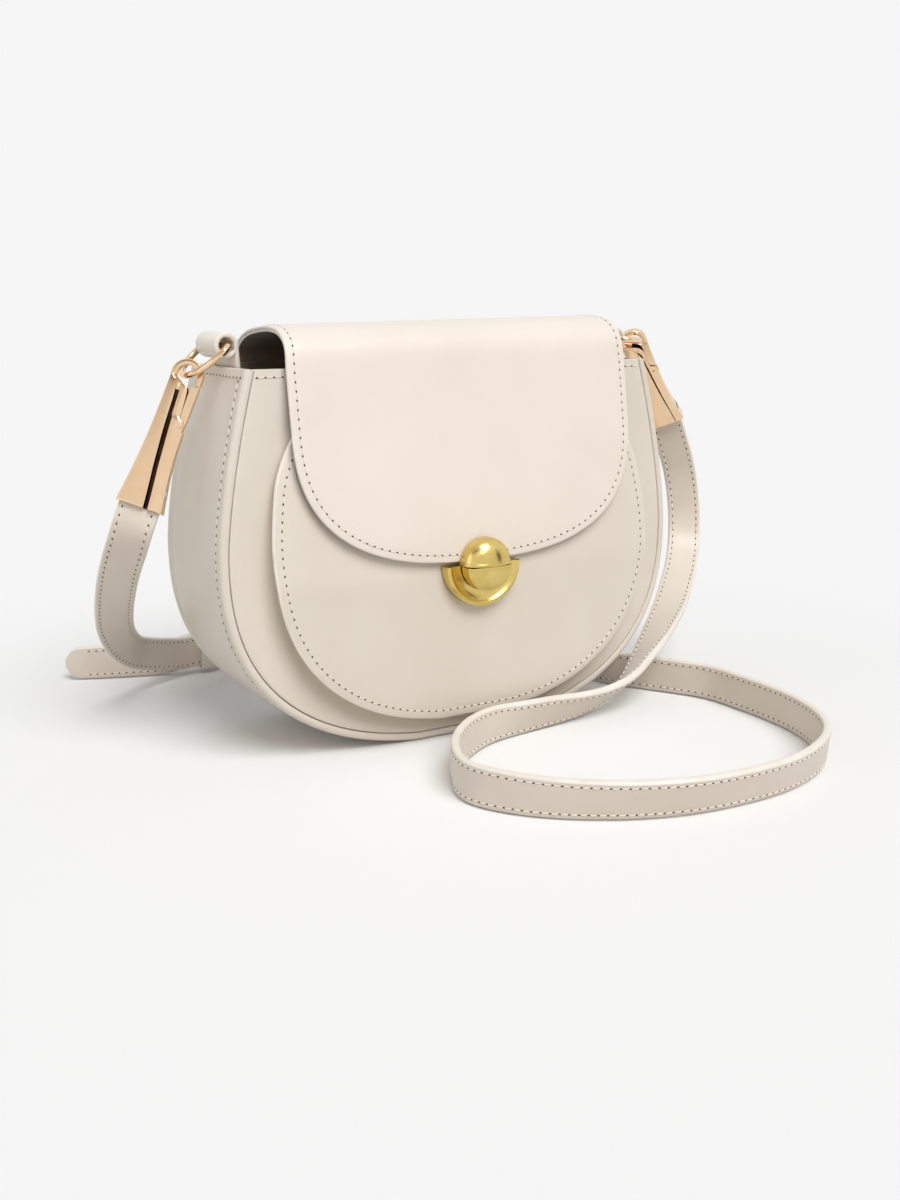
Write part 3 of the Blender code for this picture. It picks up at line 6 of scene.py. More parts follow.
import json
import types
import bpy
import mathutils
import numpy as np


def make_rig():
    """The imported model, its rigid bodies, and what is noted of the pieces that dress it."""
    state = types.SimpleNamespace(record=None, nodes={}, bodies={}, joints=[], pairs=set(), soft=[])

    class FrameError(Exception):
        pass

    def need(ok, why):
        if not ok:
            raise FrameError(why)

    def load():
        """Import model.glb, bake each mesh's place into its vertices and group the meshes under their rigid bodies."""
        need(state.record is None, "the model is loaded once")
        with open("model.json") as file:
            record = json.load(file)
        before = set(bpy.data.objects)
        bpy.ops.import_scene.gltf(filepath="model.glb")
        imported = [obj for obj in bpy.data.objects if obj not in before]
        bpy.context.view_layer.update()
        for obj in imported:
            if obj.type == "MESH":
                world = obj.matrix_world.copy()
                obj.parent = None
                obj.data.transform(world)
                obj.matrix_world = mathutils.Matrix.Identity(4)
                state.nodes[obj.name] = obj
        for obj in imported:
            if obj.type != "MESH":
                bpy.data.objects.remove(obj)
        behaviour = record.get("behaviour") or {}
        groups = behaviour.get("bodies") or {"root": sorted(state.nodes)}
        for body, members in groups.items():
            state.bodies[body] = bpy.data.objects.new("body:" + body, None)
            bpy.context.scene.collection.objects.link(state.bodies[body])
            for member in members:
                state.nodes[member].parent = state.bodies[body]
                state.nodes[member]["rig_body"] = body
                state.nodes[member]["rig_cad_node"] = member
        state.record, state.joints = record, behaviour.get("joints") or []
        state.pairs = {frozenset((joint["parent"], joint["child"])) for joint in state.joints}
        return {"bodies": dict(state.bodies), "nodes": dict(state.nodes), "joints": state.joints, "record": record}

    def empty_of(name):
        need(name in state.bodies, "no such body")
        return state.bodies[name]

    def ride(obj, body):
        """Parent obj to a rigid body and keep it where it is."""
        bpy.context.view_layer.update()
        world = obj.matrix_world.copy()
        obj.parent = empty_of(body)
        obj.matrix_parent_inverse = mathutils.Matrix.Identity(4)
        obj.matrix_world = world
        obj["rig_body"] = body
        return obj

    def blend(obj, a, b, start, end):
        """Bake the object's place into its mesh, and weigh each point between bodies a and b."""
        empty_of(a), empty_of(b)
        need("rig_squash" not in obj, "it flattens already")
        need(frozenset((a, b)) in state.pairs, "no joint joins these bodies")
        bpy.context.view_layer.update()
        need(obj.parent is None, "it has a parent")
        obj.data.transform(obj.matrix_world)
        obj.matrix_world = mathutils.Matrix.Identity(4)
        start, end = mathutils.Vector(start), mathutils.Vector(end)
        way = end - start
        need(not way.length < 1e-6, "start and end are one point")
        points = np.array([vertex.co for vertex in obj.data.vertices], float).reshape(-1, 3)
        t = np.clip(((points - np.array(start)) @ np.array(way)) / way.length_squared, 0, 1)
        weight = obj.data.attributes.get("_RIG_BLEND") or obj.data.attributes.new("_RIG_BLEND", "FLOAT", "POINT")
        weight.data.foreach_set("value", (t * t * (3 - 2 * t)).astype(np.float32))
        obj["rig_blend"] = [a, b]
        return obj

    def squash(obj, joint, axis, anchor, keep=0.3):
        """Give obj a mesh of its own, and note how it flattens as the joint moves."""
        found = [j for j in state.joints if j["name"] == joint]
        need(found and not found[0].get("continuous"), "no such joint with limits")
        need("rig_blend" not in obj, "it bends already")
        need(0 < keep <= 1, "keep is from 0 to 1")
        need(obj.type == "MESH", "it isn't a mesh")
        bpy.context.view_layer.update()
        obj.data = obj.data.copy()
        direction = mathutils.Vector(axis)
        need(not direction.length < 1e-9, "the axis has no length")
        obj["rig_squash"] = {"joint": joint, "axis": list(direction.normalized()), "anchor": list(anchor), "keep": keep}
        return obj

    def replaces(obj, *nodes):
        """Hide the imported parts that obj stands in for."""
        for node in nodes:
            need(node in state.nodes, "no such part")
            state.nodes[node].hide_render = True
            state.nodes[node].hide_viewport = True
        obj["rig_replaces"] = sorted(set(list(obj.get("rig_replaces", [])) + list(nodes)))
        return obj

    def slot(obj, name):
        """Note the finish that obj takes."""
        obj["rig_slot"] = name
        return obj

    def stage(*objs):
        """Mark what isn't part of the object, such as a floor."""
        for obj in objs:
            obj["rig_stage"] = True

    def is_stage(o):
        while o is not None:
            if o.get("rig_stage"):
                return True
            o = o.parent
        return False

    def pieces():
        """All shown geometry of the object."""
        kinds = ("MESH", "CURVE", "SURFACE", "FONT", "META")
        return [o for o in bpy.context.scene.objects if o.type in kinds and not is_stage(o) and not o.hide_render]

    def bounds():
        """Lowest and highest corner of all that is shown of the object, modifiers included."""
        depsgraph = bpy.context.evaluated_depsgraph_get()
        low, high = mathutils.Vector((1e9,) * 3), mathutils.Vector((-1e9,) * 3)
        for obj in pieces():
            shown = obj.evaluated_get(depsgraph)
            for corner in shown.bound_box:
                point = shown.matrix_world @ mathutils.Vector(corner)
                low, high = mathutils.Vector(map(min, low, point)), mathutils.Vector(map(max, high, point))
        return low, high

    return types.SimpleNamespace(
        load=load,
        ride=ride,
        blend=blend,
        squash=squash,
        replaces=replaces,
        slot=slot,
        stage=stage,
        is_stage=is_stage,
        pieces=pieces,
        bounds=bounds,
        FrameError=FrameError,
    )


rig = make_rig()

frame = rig.load()

import json
import logging
import math
from bisect import bisect_right
from dataclasses import dataclass, field
from enum import Enum
from itertools import accumulate
from pathlib import Path
from typing import Callable, Collection, Optional, Sequence

import bmesh
import bpy
from mathutils import Matrix, Vector

MM = 0.001
WELD = 0.000002
X_AXIS, Y_AXIS, Z_AXIS = Vector((1.0, 0.0, 0.0)), Vector((0.0, 1.0, 0.0)), Vector((0.0, 0.0, 1.0))
log = logging.getLogger("bag")
Mesh = bmesh.types.BMesh
Socket = bpy.types.NodeSocket
Flat = tuple[float, float]
Triple = tuple[float, float, float]
Frame = tuple[Vector, Vector, Vector]
PathPoint = tuple[Vector, Vector]
Surface = Callable[[float, float], PathPoint]


class Side(Enum):
    """Which end of the bag a fitting belongs to."""

    LEFT = -1
    RIGHT = 1

    @property
    def word(self) -> str:
        """The side's name as the CAD nodes spell it."""
        return self.name.lower()


# Finishes --------------------


def linear(code: str) -> tuple[float, float, float, float]:
    """Turn an sRGB hex code into a linear colour.

    Args:
        code: six hex digits.
    Returns:
        Red, green, blue and alpha, as the shader reads them.
    """
    values = [int(code[i:i + 2], 16) / 255 for i in (0, 2, 4)]
    tones = [v / 12.92 if v <= 0.04045 else ((v + 0.055) / 1.055) ** 2.4 for v in values]
    return (*tones, 1.0)


def add_node(
    tree: bpy.types.NodeTree, kind: str, settings: Optional[dict] = None, inputs: Optional[dict] = None
) -> bpy.types.Node:
    """Add one node with its settings, values and links.

    Args:
        tree: the material's node tree.
        kind: the node's type.
        settings: properties of the node itself.
        inputs: for each input, a value or the socket that feeds it.
    Returns:
        The new node.
    """
    node = tree.nodes.new(kind)
    for name, value in (settings or {}).items():
        setattr(node, name, value)
    for name, value in (inputs or {}).items():
        if isinstance(value, Socket):
            tree.links.new(value, node.inputs[name])
        else:
            node.inputs[name].default_value = value
    return node


@dataclass(frozen=True)
class Finish:
    """What every finish shares: a name, two close tones, and the grain of its gloss and its relief."""

    name: str
    light: str
    shade: str
    roughness: float
    gloss_spread: float = 0.04
    metallic: float = 0.0
    cloud_mm: float = 40.0
    grain_mm: float = 1.0
    grain_height_mm: float = 0.01
    swell_mm: float = 20.0
    swell_height_mm: float = 0.0
    stretch: Triple = (1.0, 1.0, 1.0)
    coat: float = 0.0
    sheen: float = 0.0

    def material(self) -> bpy.types.Material:
        """Return the finish's material, made once.

        Returns:
            The material.
        """
        found = bpy.data.materials.get(self.name)
        if found:
            return found
        made = bpy.data.materials.new(self.name)
        made.use_nodes = True
        tree = made.node_tree
        shader = tree.nodes["Principled BSDF"]
        place = add_node(tree, "ShaderNodeTexCoord").outputs["Object"]
        turned = add_node(tree, "ShaderNodeMapping", inputs={"Vector": place, "Scale": self.stretch})
        cloud = add_node(tree, "ShaderNodeTexNoise", inputs={
            "Vector": place, "Scale": 1 / (self.cloud_mm * MM), "Detail": 4.0, "Roughness": 0.55})
        grain = self.grain(tree, turned.outputs["Vector"])
        tone = add_node(tree, "ShaderNodeMix", {"data_type": "RGBA"}, {
            0: self.tone_mix(tree, cloud.outputs["Fac"], grain),
            6: linear(self.shade), 7: linear(self.light)})
        gloss = add_node(tree, "ShaderNodeMapRange", inputs={
            "Value": cloud.outputs["Fac"], "From Min": 0.3, "From Max": 0.7,
            "To Min": self.roughness - self.gloss_spread, "To Max": self.roughness + self.gloss_spread})
        fine = add_node(tree, "ShaderNodeBump", inputs={
            "Height": grain, "Distance": self.grain_height_mm * MM, "Strength": 1.0})
        normal = fine.outputs["Normal"]
        if self.swell_height_mm:
            swell = add_node(tree, "ShaderNodeTexNoise", inputs={
                "Vector": place, "Scale": 1 / (self.swell_mm * MM), "Detail": 1.0})
            broad = add_node(tree, "ShaderNodeBump", inputs={
                "Height": swell.outputs["Fac"], "Distance": self.swell_height_mm * MM, "Strength": 1.0,
                "Normal": normal})
            normal = broad.outputs["Normal"]
        for name, socket in (
            ("Base Color", tone.outputs[2]), ("Roughness", gloss.outputs["Result"]), ("Normal", normal)
        ):
            tree.links.new(socket, shader.inputs[name])
        shader.inputs["Metallic"].default_value = self.metallic
        shader.inputs["Coat Weight"].default_value = self.coat
        shader.inputs["Coat Roughness"].default_value = 0.3
        shader.inputs["Sheen Weight"].default_value = self.sheen
        made.diffuse_color = linear(self.light)
        return made

    def grain(self, tree: bpy.types.NodeTree, place: Socket) -> Socket:
        """The fine pattern's height, between 0 and 1."""
        return add_node(tree, "ShaderNodeTexNoise", inputs={
            "Vector": place, "Scale": 1 / (self.grain_mm * MM), "Detail": 2.0}).outputs["Fac"]

    def tone_mix(self, tree: bpy.types.NodeTree, cloud: Socket, grain: Socket) -> Socket:
        """How far the tone goes from the shade to the light one."""
        return add_node(tree, "ShaderNodeMapRange", inputs={
            "Value": cloud, "From Min": 0.35, "From Max": 0.65}).outputs["Result"]


@dataclass(frozen=True)
class CoatedCalf(Finish):
    """Coated calf leather: plated smooth, hair pores just felt, with a soft even gloss from its coat."""

    def grain(self, tree: bpy.types.NodeTree, place: Socket) -> Socket:
        """Small flat cells of grain, with pores where they meet."""
        return add_node(tree, "ShaderNodeTexVoronoi", {"feature": "SMOOTH_F1"}, {
            "Vector": place, "Scale": 1 / (self.grain_mm * MM), "Smoothness": 0.6}).outputs["Distance"]


@dataclass(frozen=True)
class RibbedCloth(Finish):
    """Ribbed cotton lining: fine ribs of matt thread from edge to edge, darker between the ribs."""

    def grain(self, tree: bpy.types.NodeTree, place: Socket) -> Socket:
        """Ribs across the width, one for each cord; a wave of scale 0.314 has one rib in a metre."""
        ribs = add_node(tree, "ShaderNodeTexWave", {"wave_type": "BANDS", "bands_direction": "X"}, {
            "Vector": place, "Scale": 0.314 / (self.grain_mm * MM), "Distortion": 0.4, "Detail": 1.0})
        return ribs.outputs["Fac"]

    def tone_mix(self, tree: bpy.types.NodeTree, cloud: Socket, grain: Socket) -> Socket:
        """Dark between the ribs."""
        return grain


# Corrected-grain calf: the pigment coat evens the colour, so only a faint cloud of tone is left
CALF = CoatedCalf(
    "cream_coated_calf", "E2D9CC", "DDD3C5", 0.37, 0.03, cloud_mm=55, grain_mm=0.9, grain_height_mm=0.012,
    swell_mm=26, swell_height_mm=0.10, coat=0.08)
# The same calf, a touch paler on the flap: painted light, as the flap's slope faces up towards the key light
LIT_FLAP_CALF = CoatedCalf(
    "cream_flap_calf", "EEE3D8", "E9DED2", 0.36, 0.03, cloud_mm=60, grain_mm=0.9, grain_height_mm=0.012,
    swell_mm=30, swell_height_mm=0.10, coat=0.08)
# The same calf on the strap, a shade greyer: painted shade for a strap turned away from the light; a finer cloud and a
# lower swell make it evener
SHADED_STRAP_CALF = CoatedCalf(
    "cream_strap_calf", "E2D8CB", "DCD1C3", 0.4, 0.03, cloud_mm=30, grain_mm=0.7, grain_height_mm=0.012,
    swell_mm=18, swell_height_mm=0.06, coat=0.05)
# Edge paint: two rolled coats of acrylic, paler and a little wetter than the leather
EDGE_PAINT = Finish(
    "cream_edge_paint", "EFE8DE", "E8E0D4", 0.32, 0.05, cloud_mm=9, grain_mm=1.6, grain_height_mm=0.03)
# Bonded polyester thread: bright strands with a soft sheen
THREAD = Finish("cream_bonded_thread", "F6F0E6", "E2D7C6", 0.5, 0.05, cloud_mm=0.6, grain_mm=0.35,
                grain_height_mm=0.05, sheen=0.2)
# The leather's pierced core, raw and in the shade: a small dark point at each end of a stitch
NEEDLE_HOLE = Finish("needle_hole_shadow", "5E4F40", "4A3D31", 0.8, 0.02, cloud_mm=1, grain_mm=0.5)
# Ribbed cotton: the ribs are drawn 0.8 mm apart, twice the real pitch, so that they show
LINING = RibbedCloth(
    "brown_ribbed_cotton", "A08F80", "847466", 0.85, 0.03, grain_mm=0.8, grain_height_mm=0.06, sheen=0.3)
# Polished plated zinc: a mirror with only wiping marks
ROSE_GOLD = Finish("polished_rose_gold", "F2D3B0", "EECBA4", 0.10, 0.02, 1.0, cloud_mm=8, grain_mm=0.8,
                   grain_height_mm=0.0006)
# Painted shade on the rose gold: the floor of the bell's crease is dark brown and dull, standing in for the shade deep
# in the slit
CREASE_SHADE_GOLD = Finish("unpolished_groove_gold", "3E2A1E", "2A1B12", 0.30, 0.04, 1.0, cloud_mm=4, grain_mm=0.5,
                     grain_height_mm=0.004)
# Satin plated brass, brushed before lacquering: highlights are broad and soft
SATIN_GOLD = Finish("satin_yellow_gold", "E0C87E", "D6BC6C", 0.20, 0.03, 1.0, cloud_mm=6, grain_mm=0.25,
                    grain_height_mm=0.003, stretch=(0.15, 1.0, 1.0))
# Zinc-plated steel, drawn and barrel-plated: a cool grey with a blurred sheen along the draw
STEEL = Finish("zinc_plated_steel", "C9CACC", "B4B6B9", 0.32, 0.05, 1.0, cloud_mm=5, grain_mm=0.3,
               grain_height_mm=0.006, stretch=(0.2, 1.0, 1.0))


# Numbers and lines --------------------


def clamped(value: float) -> float:
    """The value, kept between 0 and 1."""
    return min(max(value, 0.0), 1.0)


def eased(value: float) -> float:
    """The value kept between 0 and 1, with a slow start and a slow end."""
    share = clamped(value)
    return share * share * (3 - 2 * share)


def turns(first_deg: float, last_deg: float, steps: int) -> list[Flat]:
    """Cosine and sine of evenly spaced angles.

    Args:
        first_deg: the first angle.
        last_deg: the last angle.
        steps: how many steps lie between them.
    Returns:
        A (cosine, sine) pair for each angle, both ends included.
    """
    angles = [math.radians(first_deg + (last_deg - first_deg) * k / steps) for k in range(steps + 1)]
    return [(math.cos(angle), math.sin(angle)) for angle in angles]


def running_lengths(points: Sequence[Vector]) -> list[float]:
    """Length walked along a polyline up to each of its points, starting with 0."""
    return list(accumulate(((b - a).length for a, b in zip(points, points[1:])), initial=0.0))


def step_places(points: Sequence[Vector], count: int) -> list[tuple[int, float]]:
    """Where equal steps along a polyline fall.

    Args:
        points: the polyline.
        count: how many steps.
    Returns:
        For each place the point just passed and the share of the way to the next one.
    """
    lengths = running_lengths(points)
    places, k = [], 0
    for i in range(count + 1):
        goal = lengths[-1] * i / count
        while k < len(lengths) - 2 and lengths[k + 1] < goal:
            k += 1
        places.append((k, (goal - lengths[k]) / max(lengths[k + 1] - lengths[k], 1e-9)))
    return places


def even_steps(points: Sequence[Vector], step: float) -> list[Vector]:
    """Walk a polyline in equal steps.

    Args:
        points: the polyline.
        step: length of a step, made to fit a whole number of times.
    Returns:
        The points walked.
    """
    count = max(2, round(running_lengths(points)[-1] / step))
    return [points[k].lerp(points[k + 1], t) for k, t in step_places(points, count)]


def smooth_curve(points: Sequence[Vector], steps: int) -> list[Vector]:
    """Points on a smooth curve through the given ones.

    Args:
        points: places that the curve goes through.
        steps: how many parts each stretch is cut into.
    Returns:
        The curve's points, the last given one included.
    """
    curve = []
    for i in range(len(points) - 1):
        before, start = points[max(i - 1, 0)], points[i]
        end, after = points[i + 1], points[min(i + 2, len(points) - 1)]
        for k in range(steps):
            t = k / steps
            curve.append(0.5 * (
                2 * start + (end - before) * t + (2 * before - 5 * start + 4 * end - after) * t * t
                + (3 * start - before - 3 * end + after) * t**3))
    curve.append(points[-1].copy())
    return curve


def softened(points: Sequence[Vector], rounds: int) -> list[Vector]:
    """Even out a line, its two ends left in place.

    Args:
        points: the line.
        rounds: how often each point is drawn to its neighbours.
    Returns:
        The softer line.
    """
    line = list(points)
    for _ in range(rounds):
        inner = [b * 0.5 + (a + c) * 0.25 for a, b, c in zip(line, line[1:], line[2:])]
        line = [line[0], *inner, line[-1]]
    return line


def direction(points: Sequence[Vector], i: int) -> Vector:
    """Which way an open line runs at its point i."""
    return (points[min(i + 1, len(points) - 1)] - points[max(i - 1, 0)]).normalized()


def line_frames(points: Sequence[Vector], up: Vector, closed: bool = False) -> list[Frame]:
    """Directions across a line whose plane has a known normal.

    Args:
        points: the line.
        up: normal of its plane.
        closed: whether it meets its own start.
    Returns:
        For each point its place, the direction in the plane and the normal.
    """
    frames = []
    for i, point in enumerate(points):
        ring_step = points[(i + 1) % len(points)] - points[i - 1]
        along = ring_step.normalized() if closed else direction(points, i)
        across = along.cross(up).normalized()
        frames.append((point, across, across.cross(along)))
    return frames


def round_outline(half_a: float, half_b: float, sides: int) -> list[Flat]:
    """An ellipse's points."""
    return [(half_a * across, half_b * over) for across, over in turns(0.0, 360.0, sides)[:-1]]


def soft_box_outline(half_a: float, half_b: float, corner: float, steps: int = 3) -> list[Flat]:
    """A rectangle with round corners.

    Args:
        half_a: half its width.
        half_b: half its height.
        corner: corner radius.
        steps: facets of a corner.
    Returns:
        Its points.
    """
    points = []
    for quarter, (side_a, side_b) in enumerate(((1, 1), (-1, 1), (-1, -1), (1, -1))):
        for across, over in turns(90.0 * quarter, 90.0 * (quarter + 1), steps):
            points.append((
                side_a * (half_a - corner) + corner * across, side_b * (half_b - corner) + corner * over))
    return points


def cut_edge(outline: Sequence[Flat], limit: float) -> set[int]:
    """Which points of an outline lie on its two cut edges, further over than a limit."""
    return {j for j, (_, over) in enumerate(outline) if abs(over) > limit}


# Mesh making --------------------


def add_object(name: str, shape: Mesh) -> bpy.types.Object:
    """Put a mesh into the scene.

    Args:
        name: the object's name.
        shape: its mesh, which is used up.
    Returns:
        The object.
    """
    mesh = bpy.data.meshes.new(name)
    shape.to_mesh(mesh)
    shape.free()
    made = bpy.data.objects.new(name, mesh)
    bpy.context.scene.collection.objects.link(made)
    return made


def close_ends(shape: Mesh, slot: int = 0) -> Mesh:
    """Fill a sheet's open borders and turn its faces outwards.

    Args:
        shape: the sheet.
        slot: material slot of the new faces.
    Returns:
        The same mesh, closed.
    """
    borders = [edge for edge in shape.edges if edge.is_boundary]
    if borders:
        for face in bmesh.ops.holes_fill(shape, edges=borders, sides=0)["faces"]:
            face.material_index = slot
    bmesh.ops.recalc_face_normals(shape, faces=shape.faces)
    return shape


def skin(
    columns: Sequence[Sequence[Vector]], painted: Optional[Callable[[int, int], bool]] = None,
    end_slot: int = 0, ring: bool = True,
) -> Mesh:
    """A grid of quads pulled over columns of points, welded where its borders meet, and closed.

    Args:
        columns: the points, column by column.
        painted: tells whether the face after point (column, row) takes the second material slot.
        end_slot: material slot of the faces that close the open ends.
        ring: whether each column goes round to its own start.
    Returns:
        The closed mesh.
    """
    if ring:
        columns = [[*column, column[0]] for column in columns]
    across, down = len(columns) - 1, len(columns[0]) - 1
    shape = bmesh.new()
    bmesh.ops.create_grid(shape, x_segments=across, y_segments=down, size=1.0)
    crossings = {
        vert: (round((vert.co.x + 1) / 2 * across), round((vert.co.y + 1) / 2 * down))
        for vert in shape.verts}
    if painted:
        for face in shape.faces:
            i, j = (min(crossings[vert][axis] for vert in face.verts) for axis in (0, 1))
            face.material_index = int(painted(i, j))
    for vert, (i, j) in crossings.items():
        vert.co = columns[i][j]
    bmesh.ops.remove_doubles(shape, verts=shape.verts, dist=WELD)
    return close_ends(shape, end_slot)


def swept(
    frames: Sequence[Frame], outline: Sequence[Flat], closed: bool = False, painted: Collection[int] = (),
    scale: Optional[Callable[[int], Flat]] = None,
) -> Mesh:
    """Carry a closed outline along a line.

    Args:
        frames: for each station its place and the two directions of the outline.
        outline: the outline's points.
        closed: whether the line meets its own start.
        painted: outline points after which a face takes the second material slot.
        scale: how much the outline grows each way at a station.
    Returns:
        The closed mesh.
    """
    columns = []
    for i, (centre, first, second) in enumerate([*frames, frames[0]] if closed else frames):
        grow_a, grow_b = scale(i) if scale else (1.0, 1.0)
        columns.append([centre + first * (a * grow_a) + second * (b * grow_b) for a, b in outline])
    return skin(columns, lambda i, j: j in painted)


def make_piece(
    name: str, shape: Mesh, finishes: Sequence[Finish], body: Optional[str] = "bag", slot: str = "",
    stands_for: Optional[Sequence[str]] = None, bevel_mm: float = 0.0, sharp_deg: float = 40.0,
    bevel_steps: int = 2,
) -> bpy.types.Object:
    """Turn a mesh into a finished piece of the bag.

    Args:
        name: the piece's name.
        shape: its mesh, in place.
        finishes: its materials, in slot order.
        body: the CAD body it moves with, or None where the caller bends it.
        slot: the record's material slot.
        stands_for: CAD nodes that it takes the place of; without them, the node named as its slot.
        bevel_mm: rounding of its sharp edges.
        sharp_deg: edges sharper than this stay sharp or are rounded.
        bevel_steps: facets of the rounding.
    Returns:
        The object.
    """
    made = add_object(name, shape)
    made.data.shade_smooth()
    made.data.set_sharp_from_angle(angle=math.radians(sharp_deg))
    for finish in finishes:
        made.data.materials.append(finish.material())
    if bevel_mm:
        rounding = made.modifiers.new("rounded_edges", "BEVEL")
        rounding.width = bevel_mm * MM
        rounding.segments = bevel_steps
        rounding.limit_method = "ANGLE"
        rounding.angle_limit = math.radians(sharp_deg)
        rounding.harden_normals = True
    if body:
        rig.ride(made, body)
    if slot:
        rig.slot(made, slot)
        stands_for = (slot,) if stands_for is None else stands_for
    if stands_for:
        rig.replaces(made, *stands_for)
    log.info("%s: %d faces", name, len(made.data.polygons))
    return made


def box_shape(low: Sequence[float], high: Sequence[float], turn: Optional[Matrix] = None) -> Mesh:
    """A block between two corners.

    Args:
        low: its lowest corner.
        high: its highest corner.
        turn: moves it from its own frame to its place.
    Returns:
        The block.
    """
    shape = bmesh.new()
    size, centre = Vector(high) - Vector(low), (Vector(high) + Vector(low)) / 2
    matrix = Matrix.Translation(centre) @ Matrix.Diagonal((*size, 1.0))
    bmesh.ops.create_cube(shape, size=1.0, matrix=(turn or Matrix.Identity(4)) @ matrix)
    return shape


def carved(piece: bpy.types.Object, shape: Mesh) -> None:
    """Cut a shape out of a piece for good.

    Args:
        piece: what is cut; its own modifiers stay.
        shape: what is taken out.
    """
    bmesh.ops.recalc_face_normals(shape, faces=shape.faces)
    cutter = add_object("cutter", shape)
    kept = [(modifier, modifier.show_viewport) for modifier in piece.modifiers]
    for modifier, _ in kept:
        modifier.show_viewport = False
    cut = piece.modifiers.new("cut", "BOOLEAN")
    cut.operation, cut.solver, cut.object = "DIFFERENCE", "EXACT", cutter
    bpy.context.view_layer.update()
    seen = piece.evaluated_get(bpy.context.evaluated_depsgraph_get())
    result = bpy.data.meshes.new_from_object(seen)
    piece.modifiers.remove(cut)
    for modifier, shown in kept:
        modifier.show_viewport = shown
    result.shade_smooth()
    result.set_sharp_from_angle(angle=math.radians(35))
    piece.data = result
    bpy.data.objects.remove(cutter, do_unlink=True)


def repeat_at(shape: Mesh, small: Mesh, places: Sequence[Matrix]) -> None:
    """Add a small mesh at many places, in batches so that the time stays short.

    Args:
        shape: the mesh that takes the copies.
        small: what is repeated; it is used up.
        places: a matrix for each copy.
    """
    pattern = bpy.data.meshes.new("pattern")
    small.to_mesh(pattern)
    small.free()
    for first in range(0, len(places), 40):
        batch = bmesh.new()
        for place in places[first:first + 40]:
            copy = pattern.copy()
            copy.transform(place)
            batch.from_mesh(copy)
            bpy.data.meshes.remove(copy)
        joined = bpy.data.meshes.new("batch")
        batch.to_mesh(joined)
        batch.free()
        shape.from_mesh(joined)
        bpy.data.meshes.remove(joined)
    bpy.data.meshes.remove(pattern)


@dataclass(frozen=True)
class StitchRow:
    """A row of lock stitches: short sloping strands, each end pulled into a needle hole."""

    pitch: float = 3.3 * MM
    length: float = 2.6 * MM
    width: float = 0.52 * MM
    height: float = 0.36 * MM
    slope_deg: float = 5.0
    hole: float = 0.40 * MM
    hole_lift: float = 0.02 * MM

    def sew(
        self, name: str, lines: Sequence[Sequence[PathPoint]], body: Optional[str] = "bag"
    ) -> bpy.types.Object:
        """Make the stitches of one or more lines as a piece.

        Args:
            name: the piece's name.
            lines: each a run of (point, outward normal).
            body: the CAD body it moves with, or None where the caller bends it.
        Returns:
            The object.
        """
        strand, hole = bmesh.new(), bmesh.new()
        lying = Matrix.Rotation(math.pi / 2, 4, "Y")
        bmesh.ops.create_uvsphere(strand, u_segments=8, v_segments=5, radius=1.0, matrix=lying)
        bmesh.ops.create_uvsphere(hole, u_segments=6, v_segments=3, radius=1.0)
        for face in hole.faces:
            face.material_index = 1
        strands, holes = [], []
        for line in lines:
            self.add_places(line, strands, holes)
        shape = bmesh.new()
        repeat_at(shape, strand, strands)
        repeat_at(shape, hole, holes)
        return make_piece(name, shape, (THREAD, NEEDLE_HOLE), body, sharp_deg=75)

    def add_places(self, line: Sequence[PathPoint], strands: list[Matrix], holes: list[Matrix]) -> None:
        """Find where one line's strands and needle holes lie.

        Args:
            line: a run of (point, outward normal).
            strands: takes the strands' matrices.
            holes: takes the holes' matrices.
        """
        points = [point for point, _ in line]
        count = int(running_lengths(points)[-1] / self.pitch)
        if count < 1:
            return
        tilt = Matrix.Rotation(math.radians(self.slope_deg), 4, "Z")
        strand_size = Matrix.Diagonal((self.length / 2, self.width / 2, self.height, 1.0))
        hole_size = Matrix.Diagonal((self.hole * 1.5, self.hole, self.hole * 0.35, 1.0))
        for i, (k, t) in enumerate(step_places(points, 2 * count)[:-1]):
            point = points[k].lerp(points[k + 1], t)
            along = (points[k + 1] - points[k]).normalized()
            normal = line[k][1].lerp(line[k + 1][1], t)
            normal = (normal - along * along.dot(normal)).normalized()
            turn = Matrix((along, normal.cross(along), normal)).transposed().to_4x4()
            if i % 2:
                strands.append(Matrix.Translation(point) @ turn @ tilt @ strand_size)
            else:
                holes.append(Matrix.Translation(point + normal * self.hole_lift) @ turn @ hole_size)


# Outlines and layers of leather --------------------


@dataclass(frozen=True)
class Station:
    """A place on an outline: the point, the inward direction, and the point on the spine it is drawn to."""

    point: Vector
    inward: Vector
    spine: Vector


@dataclass(frozen=True)
class Outline:
    """A U-shaped edge in its own flat plane, walked from the top left round the bottom to the top right."""

    stations: tuple[Station, ...]

    @staticmethod
    def from_half(half: Sequence[Flat], spine_end: float) -> "Outline":
        """Make the whole outline from its right half.

        Args:
            half: (across, up) points from the top right corner down to the middle of the bottom.
            spine_end: height where the sheet's middle line ends.
        Returns:
            The outline.
        """
        step, level_reach = 2.4 * MM, 14 * MM
        right = even_steps([Vector((x, z, 0.0)) for x, z in half], step)
        left = [Vector((-p.x, p.y, 0.0)) for p in right]
        shared = abs(right[-1].x) < 1e-6
        points = (left[:-1] if shared else left) + right[::-1]
        stations = []
        for i, point in enumerate(points):
            along = direction(points, i)
            level = Vector((1.0 if point.x < 0 else -1.0, 0.0, 0.0))
            run = step * min(i, len(points) - 1 - i)
            inward = level.lerp(Vector((-along.y, along.x, 0.0)), eased(run / level_reach)).normalized()
            stations.append(Station(point, inward, Vector((0.0, max(point.y, spine_end), 0.0))))
        return Outline(tuple(stations))

    def inside(self, index: int, distance: float) -> Vector:
        """The point a distance inside a station."""
        station = self.stations[index]
        return station.point + station.inward * distance


